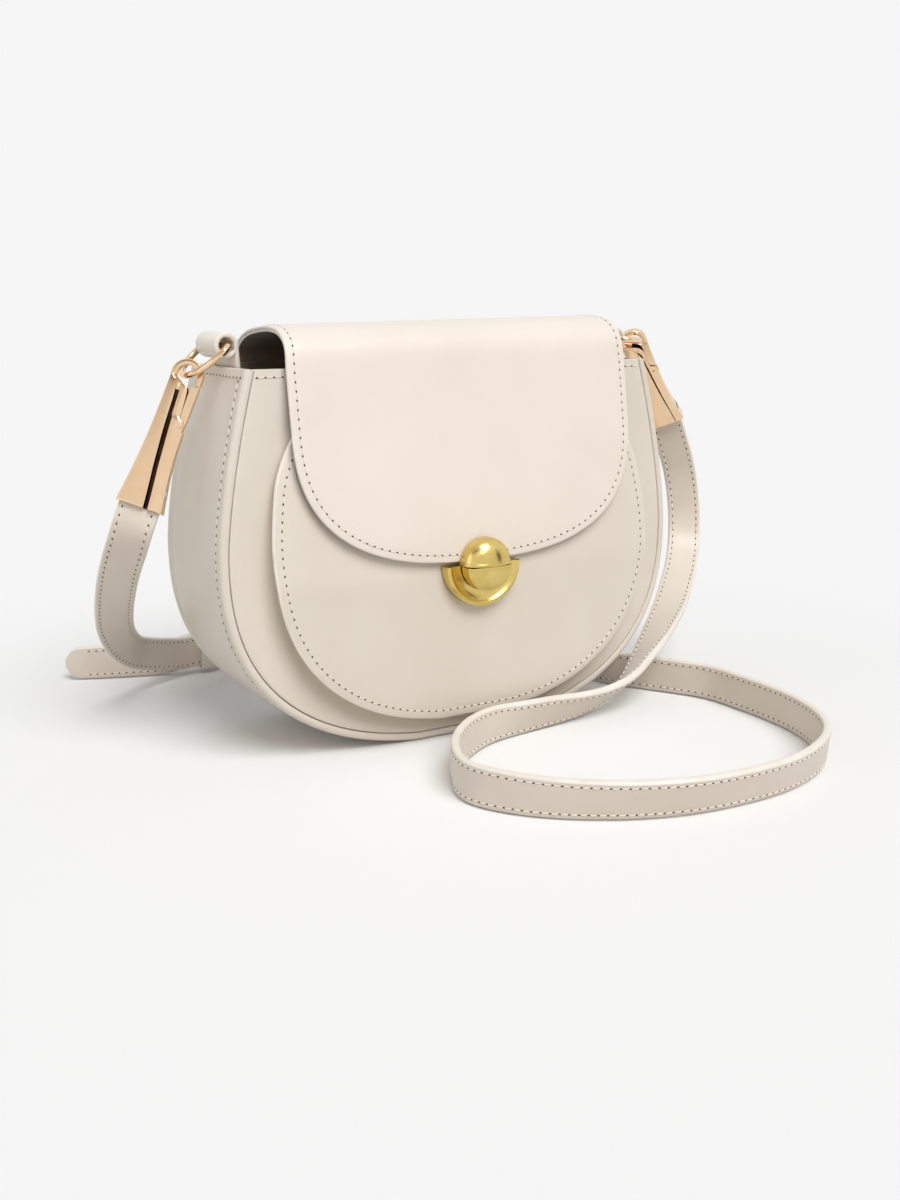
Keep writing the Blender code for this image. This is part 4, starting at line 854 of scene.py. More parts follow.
@dataclass(frozen=True)
class LeatherLayer:
    """One layer cut to a U outline, with a rolled edge, laid over a surface."""

    outline: Outline
    surface: Surface
    thickness: float
    depth: float = 0.0
    inset: float = 0.0
    edge_dip: float = 0.0
    edge_dip_reach: float = 2.2 * MM
    seam_at: float = 3.2 * MM
    seam_depth: float = 0.0
    seam_reach: float = 0.55 * MM
    edge_round: float = 0.5 * MM
    edge_steps: int = 6
    levels_mm: tuple[float, ...] = (1.2, 2.0, 2.7, 3.2, 3.7, 4.6, 6.5, 9.0)
    shares: tuple[float, ...] = (0.15, 0.32, 0.5, 0.7, 0.86, 1.0)

    def relief(self, distance: float) -> float:
        """How far the face sinks at a distance from the edge."""
        near_edge = self.edge_dip * math.exp(-((distance / self.edge_dip_reach) ** 2))
        return near_edge + self.seam_depth * math.exp(-(((distance - self.seam_at) / self.seam_reach) ** 2))

    def rows(self) -> list[tuple[float, float, float, bool]]:
        """Rows from the spine over the face, round the edge and back.

        Returns:
            For each row its distance from the edge, share of the way to the spine, depth, and whether it lies
            on the edge.
        """
        face = [(level * MM, 0.0) for level in self.levels_mm]
        face += [(self.levels_mm[-1] * MM, share) for share in self.shares]
        front = [(distance, share, self.relief(distance), False) for distance, share in reversed(face)]
        edge = []
        for forward, out in turns(0.0, 180.0, self.edge_steps):
            deep = self.thickness / 2 * (1 - forward)
            edge.append((self.edge_round * (1 - out), 0.0, deep + self.relief(0.0), True))
        back = [(distance, share, self.thickness + self.relief(distance), False) for distance, share in face]
        return front + edge + back

    def point(self, index: int, distance: float, share: float, deep: float) -> Vector:
        """A point of the layer.

        Args:
            index: station of the outline.
            distance: how far inside the edge.
            share: how far from there to the spine.
            deep: how far below the surface.
        Returns:
            The point.
        """
        flat = self.outline.inside(index, self.inset + distance)
        flat = flat.lerp(self.outline.stations[index].spine, share)
        place, normal = self.surface(flat.x, flat.y)
        return place - normal * (self.depth + deep)

    def mesh(self) -> Mesh:
        """The closed layer, its edge in the second material slot.

        Returns:
            The mesh.
        """
        rows = self.rows()
        edge = {j for j in range(len(rows) - 1) if rows[j][3] and rows[j + 1][3]}
        columns = [[self.point(i, *row[:3]) for row in rows] for i in range(len(self.outline.stations))]
        return skin(columns, lambda i, j: j in edge, end_slot=1, ring=False)

    def line(self, distance: float, skip: int = 0) -> list[PathPoint]:
        """A line on the face at a distance from the edge.

        Args:
            distance: how far inside the edge.
            skip: stations left out at both ends.
        Returns:
            Its (point, outward normal) pairs.
        """
        line = []
        for i in range(skip, len(self.outline.stations) - skip):
            flat = self.outline.inside(i, self.inset + distance)
            place, normal = self.surface(flat.x, flat.y)
            line.append((place - normal * (self.depth + self.relief(distance)), normal))
        return line


@dataclass(frozen=True, kw_only=True)
class SaddleWall:
    """The U that the bag's walls and its pocket are cut to: bowed sides and a full, round bottom."""

    half_width: float
    top_half_width: float
    top_z: float
    widest_z: float
    bottom_z: float
    flat_half_width: float
    fullness: float
    edge_steps: int
    bow_power: float = 1.5

    def half_edge(self) -> list[Flat]:
        """Right half of the edge, from the top down.

        Returns:
            (across, up) points.
        """
        points = []
        for i in range(self.edge_steps // 2):
            share = 1 - 2 * i / self.edge_steps
            x = self.half_width - (self.half_width - self.top_half_width) * share**self.bow_power
            points.append((x, self.widest_z + (self.top_z - self.widest_z) * share))
        last = math.acos((self.flat_half_width / self.half_width) ** (self.fullness / 2))
        lowest = math.sin(last) ** (2 / self.fullness)
        for across, down in turns(0.0, math.degrees(last), self.edge_steps):
            drop = down ** (2 / self.fullness) / lowest
            points.append((
                self.half_width * across ** (2 / self.fullness),
                self.widest_z - (self.widest_z - self.bottom_z) * drop))
        points.append((0.0, self.bottom_z))
        return points


# The bag's walls --------------------


# The gusset's rolled lip, in millimetres: how far outside the seam line, how far behind the wall's face
GUSSET_LIP = (
    (0.22, 0.36), (0.75, 0.08), (1.45, -0.02), (2.25, 0.12), (2.95, 0.60), (3.38, 1.35), (3.50, 2.20),
    (3.42, 3.2), (3.22, 4.2), (3.08, 5.2), (3.02, 6.0), (3.08, 6.8), (3.22, 8.0), (3.40, 10.5), (3.48, 15.0),
)


@dataclass(frozen=True, kw_only=True)
class BagBody(SaddleWall):
    """Front, back and side walls with their linings; the shape that the other leather follows."""

    half_width: float = 0.100
    top_half_width: float = 0.087
    top_z: float = 0.150
    widest_z: float = 0.080
    bottom_z: float = 0.0035
    flat_half_width: float = 0.022
    fullness: float = 2.45
    edge_steps: int = 160
    front_base_y: float = -0.0324
    front_top_y: float = -0.0294
    back_base_y: float = 0.0310
    back_top_y: float = 0.0275
    leather: float = 0.0016
    board: float = 0.0008
    lining: float = 0.0007
    gap: float = 0.0003
    crown: float = 0.0006
    edge_dip: float = 0.00022
    seam_gap: float = 0.00006
    gusset_out: float = 0.0035
    gusset_fold: float = 0.0002
    gusset_seam: Flat = (0.00305, 0.0060)
    back_seam: float = 0.0036
    rim_seam: float = 0.0029
    rim_seam_end: float = 0.0015

    def front_y(self, z: float) -> float:
        """Outer face of the front wall."""
        return self.front_base_y + (self.front_top_y - self.front_base_y) * z / self.top_z

    def back_y(self, z: float) -> float:
        """Outer face of the back wall."""
        return self.back_base_y + (self.back_top_y - self.back_base_y) * z / self.top_z

    def swelling(self, x: float, z: float) -> float:
        """How far a wall's middle stands out."""
        across = max(0.0, 1 - (x / self.half_width) ** 2)
        return self.crown * across * math.sin(math.pi * clamped(z / self.top_z))

    def front_surface(self, x: float, z: float) -> PathPoint:
        """A point of the front wall's face and its outward normal."""
        return Vector((x, self.front_y(z) - self.swelling(x, z), z)), -Y_AXIS

    def back_surface(self, x: float, z: float) -> PathPoint:
        """A point of the back wall's face and its outward normal."""
        return Vector((x, self.back_y(z) + self.swelling(x, z), z)), Y_AXIS

    def gusset_profile(self) -> list[Triple]:
        """The gusset's section, from the front seam round its outside to the back seam and inside again.

        Returns:
            For each point how far out it lies, its share of the way to the back, and its offset in depth.
        """
        front = [(out * MM, 0.0, deep * MM) for out, deep in GUSSET_LIP]
        middle = [(self.gusset_out, share, 0.0) for share in (0.4, 0.5, 0.6)]
        back = [(out * MM, 1.0, -deep * MM) for out, deep in reversed(GUSSET_LIP)]
        wall = self.bottom_z - self.leather - self.board - self.gap
        deep = self.leather + self.gusset_fold
        inner = [
            (self.gusset_fold, 1.0, -self.leather), (wall, 1.0, -deep), (wall, 0.5, 0.0), (wall, 0.0, deep),
            (self.gusset_fold, 0.0, self.leather)]
        return front + middle + back + inner

    def gusset_point(self, station: Station, out: float, share: float, deep: float) -> Vector:
        """A point on the gusset.

        Args:
            station: place along the seam line.
            out: how far outwards from the seam line.
            share: share of the way from the front wall to the back wall.
            deep: how much further back than that.
        Returns:
            The point.
        """
        flat = station.point - station.inward * out
        z = max(flat.y, 0.0)
        return Vector((flat.x, self.front_y(z) + (self.back_y(z) - self.front_y(z)) * share + deep, z))

    def build(self) -> None:
        """Build and dress the walls."""
        outline = Outline.from_half(self.half_edge(), self.widest_z * 0.9)
        wall = self.leather + self.gap + self.board
        for word, surface in (("front", self.front_surface), ("back", self.back_surface)):
            layer = LeatherLayer(
                outline, surface, wall, inset=self.seam_gap, edge_dip=self.edge_dip, edge_round=0.3 * MM)
            make_piece(word + "_wall", layer.mesh(), (CALF, EDGE_PAINT), slot=word + "_panel",
                       stands_for=(word + "_panel", word + "_board"), bevel_mm=0.35, sharp_deg=55)
        self.build_gusset(outline)
        self.build_linings(outline)
        self.sew(outline)

    def build_gusset(self, outline: Outline) -> None:
        """The side wall, with a rolled lip along both seams.

        Args:
            outline: the seam line that it follows.
        """
        profile = self.gusset_profile()
        columns = [[self.gusset_point(station, *point) for point in profile] for station in outline.stations]
        make_piece("side_gusset", skin(columns, end_slot=1), (CALF, EDGE_PAINT), slot="gusset",
                   stands_for=("gusset", "gusset_board"), bevel_mm=0.3, sharp_deg=55)

    def build_linings(self, outline: Outline) -> None:
        """The textile on the inside of all three walls.

        Args:
            outline: the seam line that they follow.
        """
        deep = self.leather + self.board + 2 * self.gap
        for word, surface in (("front", self.front_surface), ("back", self.back_surface)):
            layer = LeatherLayer(
                outline, surface, self.lining, depth=deep, inset=self.gap, edge_round=0.1 * MM,
                levels_mm=(2.0, 6.0), shares=(0.3, 0.65, 1.0))
            make_piece(word + "_wall_lining", layer.mesh(), (LINING, LINING), slot=word + "_lining")
        near = deep + self.lining + self.gap
        inner = self.bottom_z - deep - self.lining
        outer = inner + self.lining
        profile = ((inner, 0.0, near), (outer, 0.0, near), (outer, 1.0, -near), (inner, 1.0, -near))
        columns = [[self.gusset_point(station, *point) for point in profile] for station in outline.stations]
        make_piece("gusset_inner_lining", skin(columns), (LINING,), slot="gusset_lining")

    def sew(self, outline: Outline) -> None:
        """Stitches beside both seams and along the top rim.

        Args:
            outline: the seam line between the walls and the gusset.
        """
        thread = StitchRow()
        out, deep = self.gusset_seam
        front = []
        for station in outline.stations[2:-2]:
            normal = Vector((-station.inward.x, 0.0, -station.inward.y))
            front.append((self.gusset_point(station, out, 0.0, deep), normal))
        back = LeatherLayer(outline, self.back_surface, self.leather, inset=self.gap, edge_dip=self.edge_dip)
        thread.sew("gusset_seam_stitches", [front, back.line(self.back_seam, 2)])
        rim = self.top_z - self.rim_seam
        half = next(x for x, z in self.half_edge() if z <= rim)
        reach = half - self.rim_seam_end
        thread.sew("wall_rim_stitches", [
            [surface(reach * (k / 30 - 1), rim) for k in range(61)]
            for surface in (self.front_surface, self.back_surface)])
        sides = []
        for station, side in ((outline.stations[1], -1), (outline.stations[-2], 1)):
            normal = Vector((side, 0.0, 0.25)).normalized()
            line = []
            for k in range(31):
                y = self.gusset_point(station, self.gusset_out, 0.06 + 0.88 * k / 30, 0.0).y
                line.append((Vector((side * (half + self.gusset_out - 0.05 * MM), y, rim)), normal))
            sides.append(line)
        thread.sew("gusset_rim_stitches", sides)


# Front pocket --------------------


@dataclass(frozen=True, kw_only=True)
class FrontPocket(SaddleWall):
    """The raised pocket: a stitched face over a narrow gusset with a flange."""

    body: BagBody
    half_width: float = 0.086
    top_half_width: float = 0.0785
    top_z: float = 0.128
    widest_z: float = 0.084
    bottom_z: float = 0.011
    flat_half_width: float = 0.016
    fullness: float = 2.35
    edge_steps: int = 140
    leather: float = 0.0018
    lining: float = 0.0005
    lining_gap: float = 0.0002
    lining_inset: float = 0.0003
    lining_drop: float = 0.005
    gusset_inset: float = 0.004
    gusset_wall: float = 0.0012
    gusset_top_z: float = 0.112
    flange: float = 0.0026
    flange_thick: float = 0.0007
    flange_gap: float = 0.00045
    depth: float = 0.0100
    mouth_depth: float = 0.0026
    full_depth_z: float = 0.070
    seam_at: float = 0.0034
    corner_from_z: float = 0.105
    corner_draw: float = 0.0058
    window_low: Triple = (-0.0063, -0.050, 0.0613)
    window_high: Triple = (0.0063, -0.030, 0.0735)

    @property
    def spine_end(self) -> float:
        """Height where the pocket's middle line ends."""
        return self.widest_z * 0.85

    def drawn_edge(self) -> list[Flat]:
        """Right half of the pocket's edge, its top corner drawn in under the flap.

        Returns:
            (across, up) points from the top down.
        """
        points = []
        for x, z in self.half_edge():
            drawn = max(0.0, (z - self.corner_from_z) / (self.top_z - self.corner_from_z))
            points.append((x - self.corner_draw * drawn * drawn, z))
        return points

    def face_y(self, z: float) -> float:
        """Outer face of the pocket: full below, drawn in to its mouth at the top."""
        share = max(0.0, (z - self.full_depth_z) / (self.top_z - self.full_depth_z))
        return self.body.front_y(z) - self.depth + (self.depth - self.mouth_depth) * share

    def surface(self, x: float, z: float) -> PathPoint:
        """A point of the pocket's face and its outward normal."""
        return Vector((x, self.face_y(z), z)), -Y_AXIS

    def build(self) -> None:
        """Build and dress the pocket."""
        edge = self.drawn_edge()
        face = LeatherLayer(
            Outline.from_half(edge, self.spine_end), self.surface, self.leather, edge_dip=0.45 * MM,
            seam_at=self.seam_at, seam_depth=0.14 * MM, edge_round=0.75 * MM)
        piece = make_piece("pocket_face", face.mesh(), (CALF, EDGE_PAINT), slot="pocket_front", sharp_deg=60)
        StitchRow().sew("pocket_edge_stitches", [face.line(self.seam_at, 1)])
        short = [(x, z) for x, z in edge if z < self.gusset_top_z]
        self.build_gusset(Outline.from_half(short, self.spine_end))
        inner = [(x, z) for x, z in short if z < self.gusset_top_z - self.lining_drop]
        backing = LeatherLayer(
            Outline.from_half(inner, self.spine_end), self.surface, self.lining,
            depth=self.leather + self.body.gap + self.lining_gap,
            inset=self.gusset_inset + self.gusset_wall + self.lining_inset,
            edge_round=0.1 * MM, levels_mm=(2.0, 6.0), shares=(0.3, 0.65, 1.0))
        lining = make_piece("pocket_backing", backing.mesh(), (LINING, LINING), slot="pocket_lining")
        for sheet in (piece, lining):
            carved(sheet, box_shape(self.window_low, self.window_high))

    def build_gusset(self, outline: Outline) -> None:
        """The pocket's narrow side, with flanges sewn under the face and on to the wall.

        Args:
            outline: the pocket's edge up to the top of the gusset.
        """
        flange, thick, wall = self.flange, self.flange_thick, self.gusset_wall
        columns = []
        for station in outline.stations:
            base = station.point + station.inward * self.gusset_inset
            near = self.face_y(base.y) + self.leather + self.flange_gap
            far = self.body.front_surface(base.x, base.y)[0].y - self.body.gap
            section = (
                (flange, near), (flange, near + thick), (0.3 * MM, near + thick + 0.2 * MM),
                (0.0, near + thick + 0.6 * MM), (-0.25 * MM, (near + far) / 2), (0.0, far - 0.5 * MM),
                (0.2 * MM, far), (-wall, far), (-wall, near))
            column = []
            for out, y in section:
                flat = base - station.inward * out
                column.append(Vector((flat.x, y, flat.y)))
            columns.append(column)
        make_piece("pocket_side", skin(columns), (CALF,), slot="pocket_gusset", bevel_mm=0.2, sharp_deg=50)


# Flap --------------------


@dataclass
class Flap:
    """The flap, one sheet from its strip on the back wall over the arch to the lock."""

    body: BagBody
    pocket: FrontPocket
    half_width: float = 0.0765
    back_half_width: float = 0.0720
    side_end_z: float = 0.128
    tip_z: float = 0.0745
    spine_end_z: float = 0.112
    fullness: float = 2.6
    leather: float = 0.0014
    lining: float = 0.0008
    lining_inset: float = 0.0004
    lining_start: float = 0.001
    glue: float = 0.00008
    apex_y: float = -0.012
    apex_rise: float = 0.0153
    right_lift: float = 0.0028
    bend_overhang: float = 0.0039
    stand_off: float = 0.0012
    hinge_gap: float = 0.0004
    hinge_at: Triple = (0.0, 0.0298, 0.1468)
    hinge_along: Triple = (0.0, -0.819, 0.574)
    hinge_reach: float = 0.0065
    strip_height: float = 0.030
    strip_seam_half: float = 0.067
    split_z: float = 0.0734
    seam_at: float = 0.0030
    back_shares: tuple[Flat, ...] = (
        (0.0, 0.0), (0.02, 0.22), (0.09, 0.48), (0.25, 0.72), (0.47, 0.88), (0.71, 0.96))
    front_shares: tuple[Flat, ...] = ((0.0, 1.0), (0.48, 0.93), (0.79, 0.72), (0.94, 0.42), (1.0, 0.0))
    knee_share: float = 0.87
    knee_reach_share: float = 0.93
    window_low: Triple = (-0.0039, -0.0461, 0.0700)
    window_high: Triple = (0.0039, -0.0390, 0.0769)
    profile: list[Vector] = field(default_factory=list)
    lengths: list[float] = field(default_factory=list)
    arch_from: float = 0.0
    arch_to: float = 0.0

    def __post_init__(self) -> None:
        """Lay out the flap's profile, as (y, z) points, and measure along it."""
        strip, arch = self.strip_profile(), self.arch_profile()
        self.profile = softened(strip + arch + self.slope_profile(arch[-1]), 2)
        self.lengths = running_lengths(self.profile)
        self.arch_from = self.lengths[len(strip)]
        self.arch_to = self.lengths[len(strip) + len(arch) - 1]

    def strip_profile(self) -> list[Vector]:
        """The strip sewn to the back wall, from its lower edge up.

        Returns:
            Its (y, z) points.
        """
        low = self.body.top_z - self.strip_height
        heights = [low + self.strip_height * k / 12 for k in range(12)]
        return [Vector((self.body.back_y(z) + self.body.gap + self.body.leather, z, 0.0)) for z in heights]

    def arch_profile(self) -> list[Vector]:
        """The arch over the bag's mouth, from the hinge to the front bend.

        Returns:
            Its (y, z) points.
        """
        top_z = self.body.top_z
        hinge_y = self.body.back_y(top_z) + self.body.gap + self.body.leather
        bend_y = self.body.front_y(top_z) - self.bend_overhang
        start_z = top_z + self.hinge_gap
        rise = top_z + self.apex_rise - start_z
        back_run, front_run = hinge_y - self.apex_y, self.apex_y - bend_y
        arch = [(hinge_y - back_run * run, start_z + rise * up) for run, up in self.back_shares]
        arch += [(self.apex_y - front_run * run, start_z + rise * up) for run, up in self.front_shares]
        return smooth_curve([Vector((y, z, 0.0)) for y, z in arch], 8)

    def slope_profile(self, bend: Vector) -> list[Vector]:
        """The front slope, steeper below its knee, a little longer than the flap.

        Args:
            bend: where the arch ends.
        Returns:
            Its (y, z) points.
        """
        behind = self.leather + self.body.gap + self.lining + self.stand_off
        tip_y = self.pocket.face_y(self.split_z) - behind
        slope = []
        for k in range(1, 57):
            share = k / 50
            if share < self.knee_share:
                reach = share * self.knee_reach_share / self.knee_share
            else:
                below = (share - self.knee_share) / (1 - self.knee_share)
                reach = self.knee_reach_share + (1 - self.knee_reach_share) * below
            y = bend.x + (tip_y - bend.x) * reach
            slope.append(Vector((y, bend.y + (self.tip_z - bend.y) * share, 0.0)))
        return slope

    def surface(self, x: float, up: float) -> PathPoint:
        """A point of the outer face and its outward normal.

        Args:
            x: how far across.
            up: minus the length walked from the strip's lower edge.
        Returns:
            The point and the normal.
        """
        walked = min(max(-up, 0.0), self.lengths[-1] - 1e-6)
        low = bisect_right(self.lengths, walked) - 1
        t = (walked - self.lengths[low]) / (self.lengths[low + 1] - self.lengths[low])
        point = self.profile[low].lerp(self.profile[low + 1], t)
        along = direction(self.profile, low).lerp(direction(self.profile, low + 1), t).normalized()
        above = (point.y - self.body.top_z) / self.apex_rise
        lift = self.right_lift * eased(above) * (0.5 + 0.5 * x / self.half_width)
        return Vector((x, point.x, point.y + lift)), Vector((0.0, along.y, -along.x))

    def walked_to(self, z: float) -> float:
        """Length walked where the front slope reaches a height.

        Args:
            z: the height.
        Returns:
            The length.
        """
        for k in range(len(self.profile) - 1, 0, -1):
            a, b = self.profile[k - 1], self.profile[k]
            if b.y <= z <= a.y and self.lengths[k] > self.arch_to * 0.9:
                return self.lengths[k - 1] + (self.lengths[k] - self.lengths[k - 1]) * (a.y - z) / (a.y - b.y)
        return self.lengths[-1]

    def outline(self, first: float = 0.0) -> Outline:
        """The flap's edge in the flat, up being minus the length walked.

        Args:
            first: length walked where the sheet starts.
        Returns:
            The outline, down to the tip.
        """
        half = []
        for k in range(61):
            walked = first + (self.arch_to - first) * k / 60
            share = clamped((walked - self.arch_from) / (self.arch_to - self.arch_from))
            half.append((self.back_half_width + (self.half_width - self.back_half_width) * share, -walked))
        for down, across in turns(90.0, 0.0, 240):
            z = self.side_end_z - (self.side_end_z - self.tip_z) * down ** (2 / self.fullness)
            half.append((self.half_width * across ** (2 / self.fullness), -self.walked_to(z)))
        return Outline.from_half(half, -self.walked_to(self.spine_end_z))

    def hinge_zone(self) -> dict[str, Vector]:
        """Where the leather bends when the flap opens."""
        start = Vector(self.hinge_at)
        return {"start": start, "end": start + Vector(self.hinge_along) * self.hinge_reach}

    def build(self) -> None:
        """Build and dress the flap."""
        outer = LeatherLayer(
            self.outline(), self.surface, self.leather, edge_dip=0.22 * MM, seam_at=self.seam_at,
            seam_depth=0.12 * MM, edge_round=0.6 * MM)
        # The flap's leather takes the paler calf: painted light on the up-facing flap
        piece = make_piece("flap_leather", outer.mesh(), (LIT_FLAP_CALF, EDGE_PAINT), None, "flap_outer",
                           ("flap_outer", "flap_hinge_strip"), sharp_deg=60)
        inner = LeatherLayer(
            self.outline(self.arch_from + self.lining_start), self.surface, self.lining + 0.2 * MM,
            depth=self.leather + self.glue, inset=self.lining_inset, edge_round=0.3 * MM)
        lining = make_piece("flap_inner_lining", inner.mesh(), (LINING, EDGE_PAINT), "flap", "flap_lining",
                            sharp_deg=60)
        for sheet in (piece, lining):
            carved(sheet, box_shape(self.window_low, self.window_high))
        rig.blend(piece, "bag", "flap", **self.hinge_zone())
        thread = StitchRow().sew("flap_edge_stitches", [outer.line(self.seam_at, 1)], None)
        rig.blend(thread, "bag", "flap", **self.hinge_zone())
        across = [self.surface(self.strip_seam_half * (k / 20 - 1), -self.seam_at) for k in range(41)]
        StitchRow().sew("hinge_strip_stitches", [across])


# Press lock --------------------


# Across the plate's face, from its rim in: share of the radius, and depth below the rim in millimetres
PLATE_DISH = (
    (0.955, 0.00), (0.915, 0.00), (0.895, 0.12), (0.875, 0.42),
    (0.84, 0.80), (0.79, 1.12), (0.73, 1.34), (0.67, 1.42),
)


def half_spun(profile: Sequence[Flat], centre_z: float, upper: bool) -> Mesh:
    """Half of a turned shape about a line along Y.

    Args:
        profile: (radius, y) points from the axis out and back to it.
        centre_z: height of the axis.
        upper: whether it is the upper half.
    Returns:
        The closed half.
    """
    shape = bmesh.new()
    verts = [shape.verts.new((radius, y, 0.0)) for radius, y in profile]
    edges = [shape.edges.new(pair) for pair in zip(verts, verts[1:])]
    turn = -math.pi if upper else math.pi
    bmesh.ops.spin(shape, geom=verts + edges, axis=(0.0, 1.0, 0.0), angle=turn, steps=48)
    bmesh.ops.remove_doubles(shape, verts=shape.verts, dist=WELD)
    bmesh.ops.translate(shape, verts=shape.verts, vec=(0.0, 0.0, centre_z))
    return close_ends(shape)


@dataclass(frozen=True)
class PressLock:
    """Two half balls that meet: the flap's dome above, the press button below in its half-round plate."""

    split_z: float = 0.0734
    split_gap: float = 0.0002
    plate_radius: float = 0.0170
    plate_back_y: float = -0.041572
    plate_depth: float = 0.0045
    well_gap: float = 0.00035
    well_rim: float = 0.00138
    ball_radius: float = 0.0100
    ball_back_y: float = -0.044672
    dome_radius: float = 0.0106
    dome_back_y: float = -0.044498
    dome_rise: float = 0.0087
    dome_wall: float = 0.30
    dome_fullness: float = 2.15
    lip_height: float = 0.0012
    lip_stand: float = 0.0003
    button_wall: float = 0.0052
    button_edge: float = 0.0007
    button_lip_half: float = 0.0094
    button_lip_height: float = 0.0015
    floor: float = 0.0012
    window_low: Triple = (-0.0045, -0.0500, 0.0641)
    window_high: Triple = (0.0045, -0.0300, 0.0760)
    shank_half: float = 0.0042
    shank_length: float = 0.0048
    shank_from_z: float = 0.0643
    shank_to_z: float = 0.0703
    spring_z: float = 0.0682
    spring_radius: float = 0.0012
    spring_wire: float = 0.00022
    spring_turns: int = 3
    spring_from: float = 0.00515
    spring_to: float = 0.0057
    travel: float = 0.00165
    housing_half: float = 0.0060
    housing_depth: float = 0.0072
    housing_height: float = 0.0116
    housing_wall: float = 0.0012
    housing_well: float = 0.0100

    @property
    def button_face(self) -> float:
        """Where the button's face begins, in front of its round edge."""
        return self.ball_back_y - self.button_wall - self.button_edge

    def dome_profile(self) -> list[Flat]:
        """A straight rim, then a cap between a ball and a square one, down to the axis.

        Returns:
            (radius, y) points.
        """
        power, cap = 2 / self.dome_fullness, 1 - self.dome_wall
        points = [(0.0, self.dome_back_y), (self.dome_radius, self.dome_back_y)]
        for out, up in turns(0.0, 90.0, 18):
            rise = self.dome_rise * (self.dome_wall + cap * up**power)
            points.append((self.dome_radius * out**power, self.dome_back_y - rise))
        return points

    def button_profile(self) -> list[Flat]:
        """A straight wall, a small round edge, then a face that is almost flat.

        Returns:
            (radius, y) points.
        """
        radius, back, edge, face = self.ball_radius, self.ball_back_y, self.button_edge, self.button_face
        points = [(0.0, back), (radius, back)]
        for out, up in turns(0.0, 90.0, 6):
            points.append((radius - edge * (1 - out), back - self.button_wall - edge * up))
        crown = ((0.6, 0.28), (0.3, 0.40), (0.0, 0.44))
        return points + [(radius * share, face - rise * MM) for share, rise in crown]

    def build(self) -> None:
        """Build and dress the lock."""
        low = self.split_z - self.split_gap
        self.build_plate(low)
        self.build_housing(low)
        self.build_button(low - self.split_gap)
        make_piece("flap_half_dome", half_spun(self.dome_profile(), self.split_z, True), (SATIN_GOLD,),
                   "flap", "flap_dome", bevel_mm=0.5, sharp_deg=38, bevel_steps=4)
        self.build_dome_lip()
        shank = box_shape((-self.shank_half, self.ball_back_y, self.shank_from_z),
                          (self.shank_half, self.ball_back_y + self.shank_length, self.shank_to_z))
        make_piece("lock_button_shank", shank, (STEEL,), "button", "lock_button", (), bevel_mm=0.2,
                   sharp_deg=30)
        self.build_spring()

    def build_plate(self, top_z: float) -> None:
        """The half-round dish that the button sits in.

        Args:
            top_z: height of its straight edge.
        """
        back, rim = self.plate_back_y, self.plate_back_y - self.plate_depth
        radius, well, floor = self.plate_radius, self.ball_radius + self.well_gap, back - self.floor
        profile = [(0.0, back), (radius, back), (radius, rim + 0.75 * MM), (radius * 0.985, rim + 0.25 * MM)]
        profile += [(radius * share, rim + deep * MM) for share, deep in PLATE_DISH]
        profile += [(well, rim + self.well_rim), (well, floor), (0.0, floor)]
        plate = make_piece("lock_half_plate", half_spun(profile, top_z, False), (SATIN_GOLD,),
                           slot="lock_plate", bevel_mm=0.16, sharp_deg=38)
        carved(plate, box_shape(self.window_low, self.window_high))

    def build_button(self, top_z: float) -> None:
        """The half ball that is pressed, with a lip along its straight edge.

        Args:
            top_z: height of its straight edge.
        """
        make_piece("lock_press_button", half_spun(self.button_profile(), top_z, False), (SATIN_GOLD,),
                   "button", "lock_button", bevel_mm=0.15, sharp_deg=38)
        half, face = self.button_lip_half, self.button_face
        low_z = top_z - self.button_lip_height
        lip = box_shape((-half, face - 0.75 * MM, low_z), (half, face + 1.0 * MM, top_z))
        make_piece("lock_button_lip", lip, (SATIN_GOLD,), "button", "lock_button", (), bevel_mm=0.4,
                   sharp_deg=30, bevel_steps=4)

    def build_dome_lip(self) -> None:
        """The raised strip along the dome's straight lower edge."""
        level = self.split_z + self.lip_height / 2
        right = [Vector((radius, y, level)) for radius, y in self.dome_profile()[1:]]
        line = [Vector((-point.x, point.y, point.z)) for point in right] + right[-2::-1]
        frames = line_frames(even_steps(line, 0.7 * MM), Z_AXIS)
        strip = swept(frames, soft_box_outline(self.lip_stand, self.lip_height / 2, 0.28 * MM, 4))
        make_piece("flap_dome_lip", strip, (SATIN_GOLD,), "flap", "flap_dome", (), sharp_deg=60)

    def build_spring(self) -> None:
        """The coil between the shank and the housing's back, squeezed as the button goes in."""
        low, high = self.ball_back_y + self.spring_from, self.plate_back_y + self.spring_to
        steps = self.spring_turns * 24
        outs = [Vector((out, 0.0, up)) for out, up in turns(0.0, 360.0 * self.spring_turns, steps)]
        line = [
            Vector((0.0, low + (high - low) * k / steps, self.spring_z)) + out * self.spring_radius
            for k, out in enumerate(outs)]
        frames = [(line[k], out, direction(line, k).cross(out)) for k, out in enumerate(outs)]
        wire = round_outline(self.spring_wire, self.spring_wire, 8)
        coil = make_piece("lock_coil_spring", swept(frames, wire), (STEEL,), slot="lock_spring", sharp_deg=70)
        room = high - low + 2 * self.spring_wire
        anchor = (0.0, high + self.spring_wire, self.spring_z)
        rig.squash(coil, "lock_press", (0.0, 1.0, 0.0), anchor, keep=(room - self.travel) / room)

